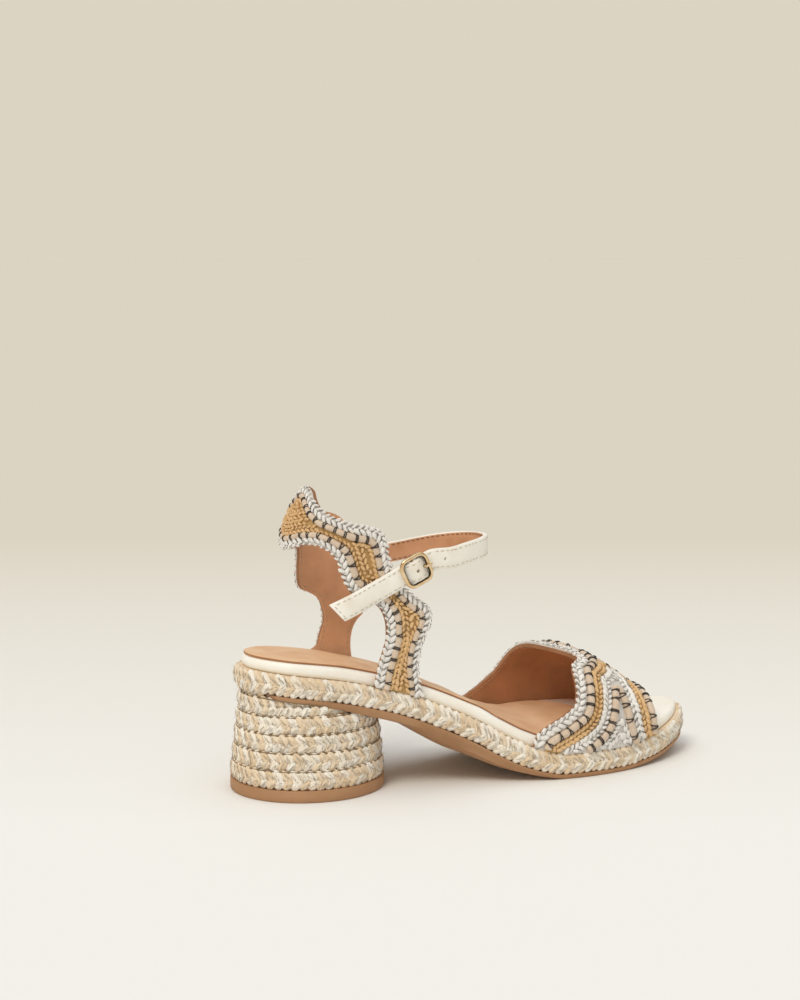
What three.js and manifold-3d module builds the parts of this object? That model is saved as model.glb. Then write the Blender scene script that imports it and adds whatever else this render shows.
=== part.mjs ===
// Low heel sandal, right shoe: jute wound block heel, crochet vamp and heel band, buckled ankle strap.
// Millimetres. X runs from heel to toe, Y to the inner side of the foot, Z up from the floor.

import * as THREE from 'three';
import Module from 'manifold-3d';
import { mergeVertices } from 'three/addons/utils/BufferGeometryUtils.js';

const wasm = await Module();
wasm.setup();

// Driving dimensions
const SOLE_LENGTH = 241.5;
const BALL_HALF_WIDTH = 42;
const HEEL_LIFT = 48.4;
const TOE_SPRING = 9.2;
const CLEARANCE = 0.3;

const OUTSOLE_EDGE = 2.4;
const OUTSOLE_EDGE_INSET = 0.7;
const WAIST_DEPTH = 7;
const WAIST_BEVEL = 8;

const JUTE_HEIGHT = 9.6;
const JUTE_DEPTH = 5;
const RIM_HEIGHT = 5.6;
const RIM_ROUNDING = 1.8;
const SOCK_THICKNESS = 1.2;
const SOCK_INSET = 3.8;
const SOCK_FRONT = 184.5;

const HEEL_CENTRE = 35.3;
const HEEL_BOTTOM_HALF_LENGTH = 37.2;
const HEEL_BOTTOM_HALF_WIDTH = 34.4;
const HEEL_TOP_HALF_LENGTH = 32.6;
const HEEL_TOP_HALF_WIDTH = 28.4;
const TOP_PIECE_HEIGHT = 6;
const JUTE_ROW_PITCH = 8.3;
const JUTE_GROOVE = 1.2;

const WALL = 2.6;
const WALL_INSET = 0.6;
const BRAID_WIDTH = 5.4;
const PIPING_WIDTH = 4;
const CAMEL_WIDTH = 5.6;
const BRAID_RAISE = 0.6;
const PIPING_RAISE = 0.8;
const CAMEL_RAISE = 0.45;
const GROOVE_RAISE = 0.05;

const VAMP_HEIGHT = 46;
const VAMP_SKEW = 4;
const VAMP_ROUNDNESS = 2.8;

const BAND_REACH = 80;
const BAND_HEIGHT = 96;
const BAND_MEDIAL_SETBACK = 9;
const BAND_MEDIAL_DROP = 4;
const BAND_MEDIAL_TAPER = 3;
const BAND_REAR = 23.7;
const BAND_REAR_LENGTH = 26.5;
const BAND_HALF_WIDTH = 30.4;
const BAND_LEAN = 13;

const STRAP_WIDTH = 10.2;
const STRAP_THICKNESS = 2.2;
const STRAP_REACH = 130;
const STRAP_HALF_WIDTH = 30;
const STRAP_START = 0.555;
const STRAP_TAIL_SLANT = 0.33;
const STRAP_HOLE_DIAMETER = 1.7;
const PRONG_HOLE = 4.4;
const STRAP_HOLES = [PRONG_HOLE, 16.6];

const BUCKLE_LENGTH = 15;
const BUCKLE_WIDTH = 14.9;
const BUCKLE_CORNER = 3.4;
const BUCKLE_BAR = 1.8;
const BUCKLE_BAR_WIDTH = 2;
const BUCKLE_X = 77.9;
const BUCKLE_HEIGHT = 0.594;
const BUCKLE_ANGLE = THREE.MathUtils.degToRad(25);
const PRONG_DIAMETER = 1.2;
const TAB_WIDTH = 8;
const TAB_THICKNESS = 1.5;

// Mesh density
const OUTLINE_STEP = 6.8;
const HEEL_POINTS = 32;
const VAMP_COLUMNS = 30;
const BAND_STEPS = 3;
const STRAP_STEPS = 3;

// Smooth curve through the rows of a table, with no overshoot between them
function smoothTable(rows, column) {
  const x = rows.map((row) => row.at);
  const y = rows.map((row) => row[column]);
  const last = x.length - 1;
  const secant = x.slice(1).map((value, i) => (y[i + 1] - y[i]) / (value - x[i]));
  const slope = x.map((value, i) => {
    if (i === 0) return secant[0];
    if (i === last) return secant[last - 1];
    if (secant[i - 1] * secant[i] <= 0) return 0;
    return (2 * secant[i - 1] * secant[i]) / (secant[i - 1] + secant[i]);
  });
  return (at) => {
    const clamped = THREE.MathUtils.clamp(at, x[0], x[last]);
    let i = 0;
    while (i < last - 1 && clamped > x[i + 1]) i += 1;
    const width = x[i + 1] - x[i];
    const t = (clamped - x[i]) / width;
    const t2 = t * t;
    const t3 = t2 * t;
    return (2 * t3 - 3 * t2 + 1) * y[i] + (t3 - 2 * t2 + t) * width * slope[i]
      + (3 * t2 - 2 * t3) * y[i + 1] + (t3 - t2) * width * slope[i + 1];
  };
}

// Half widths of the sole: shares of its length, and of the ball's half width
const OUTLINE = [
  { at: 0, lateral: 0, medial: 0 },
  { at: 0.002, lateral: 0.115, medial: 0.115 },
  { at: 0.008, lateral: 0.22, medial: 0.22 },
  { at: 0.025, lateral: 0.37, medial: 0.37 },
  { at: 0.05, lateral: 0.51, medial: 0.51 },
  { at: 0.085, lateral: 0.625, medial: 0.625 },
  { at: 0.14, lateral: 0.69, medial: 0.69 },
  { at: 0.22, lateral: 0.715, medial: 0.7 },
  { at: 0.3, lateral: 0.74, medial: 0.69 },
  { at: 0.38, lateral: 0.78, medial: 0.675 },
  { at: 0.46, lateral: 0.85, medial: 0.69 },
  { at: 0.54, lateral: 0.93, medial: 0.77 },
  { at: 0.62, lateral: 0.995, medial: 0.9 },
  { at: 0.68, lateral: 1.01, medial: 0.97 },
  { at: 0.74, lateral: 0.98, medial: 0.985 },
  { at: 0.8, lateral: 0.905, medial: 0.93 },
  { at: 0.86, lateral: 0.785, medial: 0.815 },
  { at: 0.91, lateral: 0.63, medial: 0.655 },
  { at: 0.95, lateral: 0.45, medial: 0.48 },
  { at: 0.98, lateral: 0.25, medial: 0.31 },
  { at: 0.995, lateral: 0.09, medial: 0.17 },
  { at: 0.999, lateral: 0.035, medial: 0.095 },
  { at: 1, lateral: -0.03, medial: 0.03 },
];

// Line between outsole and jute band: share of the heel's lift and of the toe's spring
const PROFILE = [
  { at: 0, lift: 1, spring: 0, waist: 0 },
  { at: 0.06, lift: 0.967, spring: 0, waist: 0 },
  { at: 0.16, lift: 0.893, spring: 0, waist: 0 },
  { at: 0.25, lift: 0.785, spring: 0, waist: 0 },
  { at: 0.29, lift: 0.727, spring: 0, waist: 0.12 },
  { at: 0.35, lift: 0.615, spring: 0, waist: 0.8 },
  { at: 0.4, lift: 0.505, spring: 0, waist: 1 },
  { at: 0.45, lift: 0.38, spring: 0, waist: 0.86 },
  { at: 0.5, lift: 0.233, spring: 0, waist: 0.62 },
  { at: 0.55, lift: 0.112, spring: 0, waist: 0.32 },
  { at: 0.6, lift: 0.031, spring: 0, waist: 0.06 },
  { at: 0.64, lift: 0, spring: 0, waist: 0 },
  { at: 0.77, lift: 0, spring: 0, waist: 0 },
  { at: 0.82, lift: 0, spring: 0.09, waist: 0 },
  { at: 0.88, lift: 0, spring: 0.3, waist: 0 },
  { at: 0.94, lift: 0, spring: 0.62, waist: 0 },
  { at: 1, lift: 0, spring: 1, waist: 0 },
];

// Height of the footbed's rim, lower towards the toe
const RIM_PROFILE = [
  { at: 0, rim: 1 },
  { at: 0.88, rim: 1 },
  { at: 0.93, rim: 0.92 },
  { at: 0.97, rim: 0.75 },
  { at: 1, rim: 0.62 },
];

// Ridge of the vamp over its base line: share of the vamp's height
const VAMP_RIDGE = [
  { at: 0.5, height: 0.83 },
  { at: 0.56, height: 0.94 },
  { at: 0.63, height: 1.005 },
  { at: 0.68, height: 0.965 },
  { at: 0.735, height: 0.905 },
  { at: 0.78, height: 0.79 },
  { at: 0.83, height: 0.595 },
  { at: 0.875, height: 0.39 },
  { at: 0.92, height: 0.22 },
];

// Rear and front edge of the vamp: at runs from the outer base over the ridge to the inner base
const VAMP_EDGES = [
  { at: -1, rear: 0.56, front: 0.865 },
  { at: -0.9, rear: 0.568, front: 0.862 },
  { at: -0.8, rear: 0.592, front: 0.861 },
  { at: -0.71, rear: 0.63, front: 0.86 },
  { at: -0.64, rear: 0.656, front: 0.86 },
  { at: -0.5, rear: 0.668, front: 0.862 },
  { at: -0.37, rear: 0.678, front: 0.867 },
  { at: -0.24, rear: 0.714, front: 0.875 },
  { at: -0.05, rear: 0.7, front: 0.888 },
  { at: 0.1, rear: 0.678, front: 0.896 },
  { at: 0.3, rear: 0.665, front: 0.898 },
  { at: 0.45, rear: 0.652, front: 0.894 },
  { at: 0.6, rear: 0.628, front: 0.889 },
  { at: 0.72, rear: 0.587, front: 0.885 },
  { at: 0.88, rear: 0.537, front: 0.88 },
  { at: 1, rear: 0.52, front: 0.877 },
];

// Heel band from a leg's base to the rear centre: distance from the rear centre as a share of the
// band's reach, and height over the seat as a share of the band's height, of its low and top edge
const BAND_EDGES = [
  { low: 0.644, lowHeight: 0, top: 0.956, topHeight: 0 },
  { low: 0.67, lowHeight: 0.115, top: 0.938, topHeight: 0.109 },
  { low: 0.7, lowHeight: 0.203, top: 0.95, topHeight: 0.182 },
  { low: 0.72, lowHeight: 0.266, top: 0.982, topHeight: 0.256 },
  { low: 0.717, lowHeight: 0.323, top: 1.012, topHeight: 0.308 },
  { low: 0.7, lowHeight: 0.375, top: 1.018, topHeight: 0.359 },
  { low: 0.665, lowHeight: 0.42, top: 0.994, topHeight: 0.409 },
  { low: 0.594, lowHeight: 0.451, top: 0.919, topHeight: 0.456 },
  { low: 0.525, lowHeight: 0.472, top: 0.844, topHeight: 0.505 },
  { low: 0.484, lowHeight: 0.498, top: 0.79, topHeight: 0.552 },
  { low: 0.454, lowHeight: 0.536, top: 0.757, topHeight: 0.609 },
  { low: 0.428, lowHeight: 0.585, top: 0.737, topHeight: 0.667 },
  { low: 0.406, lowHeight: 0.636, top: 0.715, topHeight: 0.719 },
  { low: 0.377, lowHeight: 0.672, top: 0.682, topHeight: 0.771 },
  { low: 0.337, lowHeight: 0.697, top: 0.625, topHeight: 0.805 },
  { low: 0.294, lowHeight: 0.712, top: 0.55, topHeight: 0.823 },
  { low: 0.254, lowHeight: 0.719, top: 0.469, topHeight: 0.832 },
  { low: 0.212, lowHeight: 0.72, top: 0.394, topHeight: 0.85 },
  { low: 0.169, lowHeight: 0.715, top: 0.305, topHeight: 0.874 },
  { low: 0.124, lowHeight: 0.705, top: 0.218, topHeight: 0.902 },
  { low: 0.079, lowHeight: 0.695, top: 0.13, topHeight: 0.945 },
  { low: 0.038, lowHeight: 0.687, top: 0.056, topHeight: 0.986 },
  { low: 0, lowHeight: 0.684, top: 0, topHeight: 0.996 },
];

// Half width and forward lean of the heel band by height over the seat
const BAND_SHAPE = [
  { at: 0, width: 1, lean: 0 },
  { at: 0.12, width: 1, lean: 0 },
  { at: 0.52, width: 0.938, lean: 0 },
  { at: 0.66, width: 0.912, lean: 0.02 },
  { at: 0.8, width: 0.888, lean: 0.2 },
  { at: 0.9, width: 0.873, lean: 0.6 },
  { at: 1, width: 0.858, lean: 1 },
];

// Front loop of the ankle strap: shares of its reach, its half width and the band's height
const STRAP_LOOP = [
  { along: 0.615, across: 0.86, height: 0.582 },
  { along: 0.71, across: 0.85, height: 0.597 },
  { along: 0.79, across: 0.81, height: 0.614 },
  { along: 0.862, across: 0.675, height: 0.632 },
  { along: 0.922, across: 0.43, height: 0.648 },
  { along: 0.957, across: 0.1, height: 0.66 },
  { along: 0.96, across: -0.24, height: 0.665 },
  { along: 0.928, across: -0.56, height: 0.667 },
  { along: 0.87, across: -0.81, height: 0.664 },
  { along: 0.806, across: -0.95, height: 0.655 },
  { along: 0.745, across: -1.015, height: 0.642 },
];

// Strap in the buckle: along from its centre, and out from the frame's plane, in bar diameters
const STRAP_IN_BUCKLE = [
  { along: 5.6, out: -1.25 },
  { along: 4.3, out: -1.4 },
  { along: 3.5, out: -1.42 },
  { along: 2.7, out: -1.08 },
  { along: 1.8, out: -0.45 },
  { along: 0.8, out: 0.25 },
  { along: 0, out: 0.48 },
  { along: -0.8, out: 0.25 },
  { along: -1.8, out: -0.45 },
  { along: -2.7, out: -1.08 },
  { along: -3.5, out: -1.42 },
  { along: -4.3, out: -1.4 },
];

// Tail of the strap over the heel band: back from the buckle's centre and down, in strap widths
const STRAP_TAIL = [
  { back: 1.05, down: 0.475 },
  { back: 1.5, down: 0.69 },
  { back: 2.1, down: 0.965 },
  { back: 2.7, down: 1.25 },
  { back: 3.25, down: 1.51 },
  { back: 3.78, down: 1.77 },
];

const PRONG_PATH = [
  { along: 1, out: -1.2 },
  { along: 1.65, out: -1.7 },
  { along: 2.2, out: -1.68 },
  { along: 2.42, out: -0.85 },
  { along: 2.5, out: 0.3 },
  { along: 2.8, out: 0.98 },
  { along: 3.5, out: 1.12 },
  { along: 4.5, out: 0.98 },
];

const TAB_PATH = [
  { along: 0.35, out: -1.98 },
  { along: -0.55, out: -2.12 },
  { along: -1.45, out: -2.55 },
  { along: -2, out: -2.85 },
  { along: -2.6, out: -2.95 },
  { along: -5.6, out: -2.95 },
];

const lateralShare = smoothTable(OUTLINE, 'lateral');
const medialShare = smoothTable(OUTLINE, 'medial');
const liftShare = smoothTable(PROFILE, 'lift');
const springShare = smoothTable(PROFILE, 'spring');
const waistShare = smoothTable(PROFILE, 'waist');
const rimShare = smoothTable(RIM_PROFILE, 'rim');
const ridgeShare = smoothTable(VAMP_RIDGE, 'height');
const vampRear = smoothTable(VAMP_EDGES, 'rear');
const vampFront = smoothTable(VAMP_EDGES, 'front');
const bandWidthShare = smoothTable(BAND_SHAPE, 'width');
const bandLeanShare = smoothTable(BAND_SHAPE, 'lean');

// Height of the line between outsole and jute band
function seamHeight(x) {
  const share = x / SOLE_LENGTH;
  return OUTSOLE_EDGE + HEEL_LIFT * liftShare(share) + TOE_SPRING * springShare(share);
}

// A thickness square to the sloping sole, measured upright
function upright(x, thickness) {
  const step = 0.5;
  const slope = (seamHeight(x + step) - seamHeight(x - step)) / (2 * step);
  return thickness * Math.hypot(1, slope);
}

const juteTop = (x) => seamHeight(x) + upright(x, JUTE_HEIGHT);
const rimHeight = (x) => RIM_HEIGHT * rimShare(x / SOLE_LENGTH);
const rimTop = (x) => seamHeight(x) + upright(x, JUTE_HEIGHT + rimHeight(x));
const outsoleBottom = (x) => seamHeight(x) - OUTSOLE_EDGE;
const waistDepth = (x) => WAIST_DEPTH * waistShare(x / SOLE_LENGTH);

// Outline of the sole: y on the outer (side -1) or the inner side (side 1)
function outlineY(x, side) {
  const share = THREE.MathUtils.clamp(x / SOLE_LENGTH, 0, 1);
  return BALL_HALF_WIDTH * (side < 0 ? -lateralShare(share) : medialShare(share));
}

// Stations along the sole, closer together where the outline turns
const stationShares = [];
OUTLINE.slice(1).forEach((row, i) => {
  const from = OUTLINE[i];
  const run = Math.hypot((row.at - from.at) * SOLE_LENGTH, (row.lateral - from.lateral) * BALL_HALF_WIDTH);
  const steps = Math.ceil(run / OUTLINE_STEP);
  for (let k = 0; k < steps; k += 1) stationShares.push(THREE.MathUtils.lerp(from.at, row.at, k / steps));
});
const OUTLINE_POINTS = 2 * stationShares.length;

const outline = [];
for (let i = 0; i < OUTLINE_POINTS; i += 1) {
  const half = OUTLINE_POINTS / 2;
  const x = SOLE_LENGTH * (i === half ? 1 : stationShares[i < half ? i : OUTLINE_POINTS - i]);
  const isEnd = i === 0 || i === half;
  const y = isEnd ? (outlineY(x, -1) + outlineY(x, 1)) / 2 : outlineY(x, i < half ? -1 : 1);
  outline.push(new THREE.Vector2(x, y));
}

// The outline moved inwards, with a height for each of its points
function outlineLoop(inset, heightAt) {
  return outline.map((point, i) => {
    const before = outline[(i + OUTLINE_POINTS - 1) % OUTLINE_POINTS];
    const after = outline[(i + 1) % OUTLINE_POINTS];
    const along = after.clone().sub(before).normalize();
    const x = point.x - along.y * inset;
    const y = point.y + along.x * inset;
    return new THREE.Vector3(x, y, heightAt(x, i));
  });
}

// A closed geometry from points and triangles, with its faces turned out
function closedGeometry(points, triangles) {
  let volume = 0;
  for (const [a, b, c] of triangles) {
    volume += points[a].dot(points[b].clone().cross(points[c]));
  }
  const turned = volume < 0 ? triangles.map(([a, b, c]) => [a, c, b]) : triangles;
  const geometry = new THREE.BufferGeometry().setFromPoints(points);
  geometry.setIndex(turned.flat());
  geometry.computeVertexNormals();
  return geometry;
}

// Side faces between two rings of points of the same count
function ringFaces(first, second, count) {
  const faces = [];
  for (let i = 0; i < count; i += 1) {
    const next = (i + 1) % count;
    faces.push([first + i, first + next, second + next], [first + i, second + next, second + i]);
  }
  return faces;
}

// Cap whose rungs run from the outer side to the inner side, so it follows the sole's profile
function ladderFaces(first, count, up) {
  const faces = [];
  for (let i = 0; i < count / 2; i += 1) {
    const left = first + i;
    const leftNext = first + i + 1;
    const right = first + ((count - i) % count);
    const rightNext = first + count - i - 1;
    if (left !== right) faces.push(up ? [left, leftNext, right] : [left, right, leftNext]);
    if (leftNext !== rightNext) {
      faces.push(up ? [leftNext, rightNext, right] : [leftNext, right, rightNext]);
    }
  }
  return faces;
}

// Solid made of loops from bottom to top
function stackedSolid(loops) {
  const count = loops[0].length;
  const faces = ladderFaces(0, count, false);
  for (let k = 1; k < loops.length; k += 1) faces.push(...ringFaces((k - 1) * count, k * count, count));
  faces.push(...ladderFaces((loops.length - 1) * count, count, true));
  return closedGeometry(loops.flat(), faces);
}

// Solid band: its section closes on itself, loop after loop
function bandSolid(loops) {
  const count = loops[0].length;
  const faces = loops.flatMap((loop, k) => ringFaces(k * count, ((k + 1) % loops.length) * count, count));
  return closedGeometry(loops.flat(), faces);
}

// Wall between an outer and an inner sheet of points
function wallSolid(outer, inner) {
  const rows = outer.length;
  const columns = outer[0].length;
  const size = rows * columns;
  const at = (row, column) => row * columns + column;
  const faces = [];
  for (let r = 0; r < rows - 1; r += 1) {
    for (let c = 0; c < columns - 1; c += 1) {
      const [a, b, d, e] = [at(r, c), at(r, c + 1), at(r + 1, c + 1), at(r + 1, c)];
      faces.push([a, b, d], [a, d, e]);
      faces.push([size + a, size + d, size + b], [size + a, size + e, size + d]);
    }
  }
  const rim = [];
  for (let c = 0; c < columns - 1; c += 1) rim.push(at(0, c));
  for (let r = 0; r < rows - 1; r += 1) rim.push(at(r, columns - 1));
  for (let c = columns - 1; c > 0; c -= 1) rim.push(at(rows - 1, c));
  for (let r = rows - 1; r > 0; r -= 1) rim.push(at(r, 0));
  rim.forEach((a, i) => {
    const b = rim[(i + 1) % rim.length];
    faces.push([a, size + b, b], [a, size + a, size + b]);
  });
  return closedGeometry([...outer.flat(), ...inner.flat()], faces);
}

// Solid swept through closed sections, open ended (capped) or closed into a ring
function sweptSolid(sections, closed) {
  const count = sections[0].length;
  const last = sections.length - 1;
  const faces = [];
  for (let k = 0; k < last; k += 1) faces.push(...ringFaces(k * count, (k + 1) * count, count));
  if (closed) faces.push(...ringFaces(last * count, 0, count));
  for (let i = 1; !closed && i < count - 1; i += 1) {
    faces.push([0, i + 1, i], [last * count, last * count + i, last * count + i + 1]);
  }
  return closedGeometry(sections.flat(), faces);
}

// Joining and cutting
function toManifold(geometry) {
  const bare = geometry.clone();
  bare.deleteAttribute('normal');
  bare.deleteAttribute('uv');
  const merged = mergeVertices(bare, 1e-4);
  return new wasm.Manifold(new wasm.Mesh({
    numProp: 3,
    vertProperties: new Float32Array(merged.attributes.position.array),
    triVerts: new Uint32Array(merged.index.array),
  }));
}

function fromManifold(solid) {
  const mesh = solid.getMesh();
  const geometry = new THREE.BufferGeometry();
  geometry.setAttribute('position', new THREE.BufferAttribute(new Float32Array(mesh.vertProperties), 3));
  geometry.setIndex(new THREE.BufferAttribute(new Uint32Array(mesh.triVerts), 1));
  geometry.computeVertexNormals();
  return geometry;
}

// Heel
function heelLoop(height, offset) {
  const rise = (height - TOP_PIECE_HEIGHT) / (HEEL_LIFT - TOP_PIECE_HEIGHT);
  const share = THREE.MathUtils.clamp(rise, 0, 1.2);
  const halfLength = THREE.MathUtils.lerp(HEEL_BOTTOM_HALF_LENGTH, HEEL_TOP_HALF_LENGTH, share) + offset;
  const halfWidth = THREE.MathUtils.lerp(HEEL_BOTTOM_HALF_WIDTH, HEEL_TOP_HALF_WIDTH, share) + offset;
  return Array.from({ length: HEEL_POINTS }, (unused, i) => {
    const turn = Math.PI + (2 * Math.PI * i) / HEEL_POINTS;
    const x = HEEL_CENTRE + halfLength * Math.cos(turn);
    return new THREE.Vector3(x, halfWidth * Math.sin(turn), height);
  });
}

function heelTopPiece() {
  const chamfer = 0.6;
  return stackedSolid([
    heelLoop(0, -chamfer),
    heelLoop(chamfer, 0),
    heelLoop(TOP_PIECE_HEIGHT - CLEARANCE, 0),
  ]);
}

function heelBlock() {
  const rowShape = [
    { at: 0, out: -1 },
    { at: 0.2, out: -0.25 },
    { at: 0.5, out: 0 },
    { at: 0.8, out: -0.25 },
  ];
  const loops = [];
  const rows = Math.ceil((HEEL_LIFT - TOP_PIECE_HEIGHT) / JUTE_ROW_PITCH);
  for (let row = 0; row < rows; row += 1) {
    for (const { at, out } of rowShape) {
      const height = TOP_PIECE_HEIGHT + (row + at) * JUTE_ROW_PITCH;
      loops.push(heelLoop(height, out * JUTE_GROOVE));
    }
  }
  loops.push(heelLoop(TOP_PIECE_HEIGHT + rows * JUTE_ROW_PITCH, -JUTE_GROOVE));
  return fromManifold(toManifold(stackedSolid(loops)).subtract(overSole()));
}

// Everything above the underside of the outsole's rear part
function overSole() {
  const profile = new THREE.Shape();
  const step = 2;
  const rear = -4 * step;
  const front = HEEL_CENTRE + HEEL_BOTTOM_HALF_LENGTH + 4 * step;
  const ceiling = 2 * HEEL_LIFT;
  profile.moveTo(rear, ceiling);
  profile.lineTo(front, ceiling);
  for (let x = front; x >= rear; x -= step) profile.lineTo(x, outsoleBottom(x) - waistDepth(x) - upright(x, 1.4 * CLEARANCE));
  profile.closePath();
  const width = 4 * HEEL_BOTTOM_HALF_WIDTH;
  const geometry = new THREE.ExtrudeGeometry(profile, { depth: width, bevelEnabled: false });
  geometry.rotateX(Math.PI / 2);
  geometry.translate(0, width / 2, 0);
  return toManifold(geometry);
}

// Sole
function outsole() {
  const bevel = OUTSOLE_EDGE_INSET + OUTSOLE_EDGE;
  return stackedSolid([
    outlineLoop(bevel + WAIST_BEVEL, (x) => outsoleBottom(x) - waistDepth(x)),
    outlineLoop(bevel, (x) => outsoleBottom(x) - 0.62 * waistDepth(x)),
    outlineLoop(OUTSOLE_EDGE_INSET, (x) => outsoleBottom(x) + 0.2 * OUTSOLE_EDGE),
    outlineLoop(OUTSOLE_EDGE_INSET, (x) => seamHeight(x) - upright(x, CLEARANCE)),
  ]);
}

function juteEdgeBand() {
  const section = [
    { inset: 1.3, height: 0.01 },
    { inset: 0.3, height: 0.14 },
    { inset: 0.05, height: 0.31 },
    { inset: 0.55, height: 0.5 },
    { inset: 0.05, height: 0.69 },
    { inset: 0.35, height: 0.88 },
    { inset: 1.5, height: 1 },
    { inset: JUTE_DEPTH, height: 1 },
    { inset: JUTE_DEPTH, height: 0.01 },
  ];
  return bandSolid(section.map(({ inset, height }) => outlineLoop(
    inset,
    (x) => seamHeight(x) + upright(x, height * JUTE_HEIGHT),
  )));
}

// Cream footbed: it fills the jute band, and its rounded rim stands on it
const RIM_INSET = WALL_INSET + WALL + 2 * CLEARANCE;

function footbed() {
  const core = JUTE_DEPTH + CLEARANCE;
  const level = (share) => (x) => juteTop(x) + upright(x, share * rimHeight(x));
  const ledge = (x) => juteTop(x) + upright(x, CLEARANCE);
  return stackedSolid([
    outlineLoop(core, (x) => seamHeight(x)),
    outlineLoop(core, ledge),
    outlineLoop(RIM_INSET + 0.5, ledge),
    outlineLoop(RIM_INSET, level(0.3)),
    outlineLoop(RIM_INSET + 0.3, level(0.72)),
    outlineLoop(RIM_INSET + RIM_ROUNDING, level(1)),
  ]);
}

// Tan sock on the footbed, from the heel to the ball, with a slanted front
function sock() {
  const inset = RIM_INSET + SOCK_INSET;
  const slant = 0.15;
  const floor = (x) => rimTop(x) + upright(x, 1.4 * CLEARANCE);
  const loops = [0, SOCK_THICKNESS].map((thickness) => {
    const full = outlineLoop(inset, () => 0);
    return full.map((point) => {
      const x = Math.min(point.x, SOCK_FRONT + slant * point.y);
      return new THREE.Vector3(x, point.y, floor(x) + upright(x, thickness));
    });
  });
  return trimmedStack(loops);
}

// Stack of two loops whose points past the front line fall together
function trimmedStack(loops) {
  const half = OUTLINE_POINTS / 2;
  const front = (point) => SOCK_FRONT + 0.15 * point.y;
  const kept = loops[0].map((point, i) => (point.x < front(point) - 1e-6 ? i : -1)).filter((i) => i >= 0);
  const lateral = kept.filter((i) => i > 0 && i < half).length;
  const medial = kept.filter((i) => i > half).length;
  const pairs = Math.min(lateral, medial);
  const indices = [0];
  for (let i = 1; i <= pairs; i += 1) indices.push(i);
  const tail = [];
  for (let i = pairs; i >= 1; i -= 1) tail.push(OUTLINE_POINTS - i);
  const trimmed = loops.map((loop) => {
    const outer = indices.map((i) => loop[i]);
    const inner = tail.map((i) => loop[i]);
    const lastOuter = outer[outer.length - 1].clone();
    const lastInner = inner[0].clone();
    lastOuter.x = front(lastOuter);
    lastInner.x = front(lastInner);
    const middle = lastOuter.clone().lerp(lastInner, 0.5);
    return [...outer, lastOuter, middle, lastInner, ...inner].map((point) => point.clone());
  });
  return stackedSolid(trimmed);
}

// Vamp: a vertical foot outside the rim, then a rounded arch
const VAMP_FOOT = 0.1;

function vampPoint(x, at) {
  const outer = outlineY(x, -1) + WALL_INSET;
  const inner = outlineY(x, 1) - WALL_INSET;
  const centre = (outer + inner) / 2;
  const half = (inner - outer) / 2;
  const base = juteTop(x) + CLEARANCE;
  const foot = upright(x, RIM_HEIGHT);
  const ridge = base + VAMP_HEIGHT * ridgeShare(x / SOLE_LENGTH);
  const arch = 1 - VAMP_FOOT;
  if (Math.abs(at) >= arch) {
    const rise = (1 - Math.abs(at)) / VAMP_FOOT;
    return new THREE.Vector3(x, at < 0 ? outer : inner, base + foot * rise);
  }
  const angle = (at / arch) * (Math.PI / 2);
  const sine = Math.sin(angle);
  const cosine = Math.cos(angle);
  const reach = (Math.abs(sine) ** VAMP_ROUNDNESS + cosine ** VAMP_ROUNDNESS) ** (-1 / VAMP_ROUNDNESS);
  const height = reach * cosine;
  return new THREE.Vector3(
    x,
    centre + half * reach * sine + VAMP_SKEW * height * height,
    base + foot + (ridge - base - foot) * height,
  );
}

function sheetNormal(pointAt, u, v, stepU, stepV) {
  const alongU = pointAt(u + stepU, v).sub(pointAt(u - stepU, v));
  const alongV = pointAt(u, v + stepV).sub(pointAt(u, v - stepV));
  return alongU.cross(alongV).normalize();
}

// Strips of the crochet wall from an edge inwards: distance from the edge and how far they stand out
function edgeStrips(widths) {
  const strips = [{ from: 0, out: GROOVE_RAISE }];
  let from = 0;
  for (const { width, raise } of widths) {
    strips.push({ from: from + width / 2, out: raise }, { from: from + width, out: GROOVE_RAISE });
    from += width;
  }
  return strips;
}

const BRAID = { width: BRAID_WIDTH, raise: BRAID_RAISE };
const PIPING = { width: PIPING_WIDTH, raise: PIPING_RAISE };
const CAMEL = { width: CAMEL_WIDTH, raise: CAMEL_RAISE };

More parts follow.
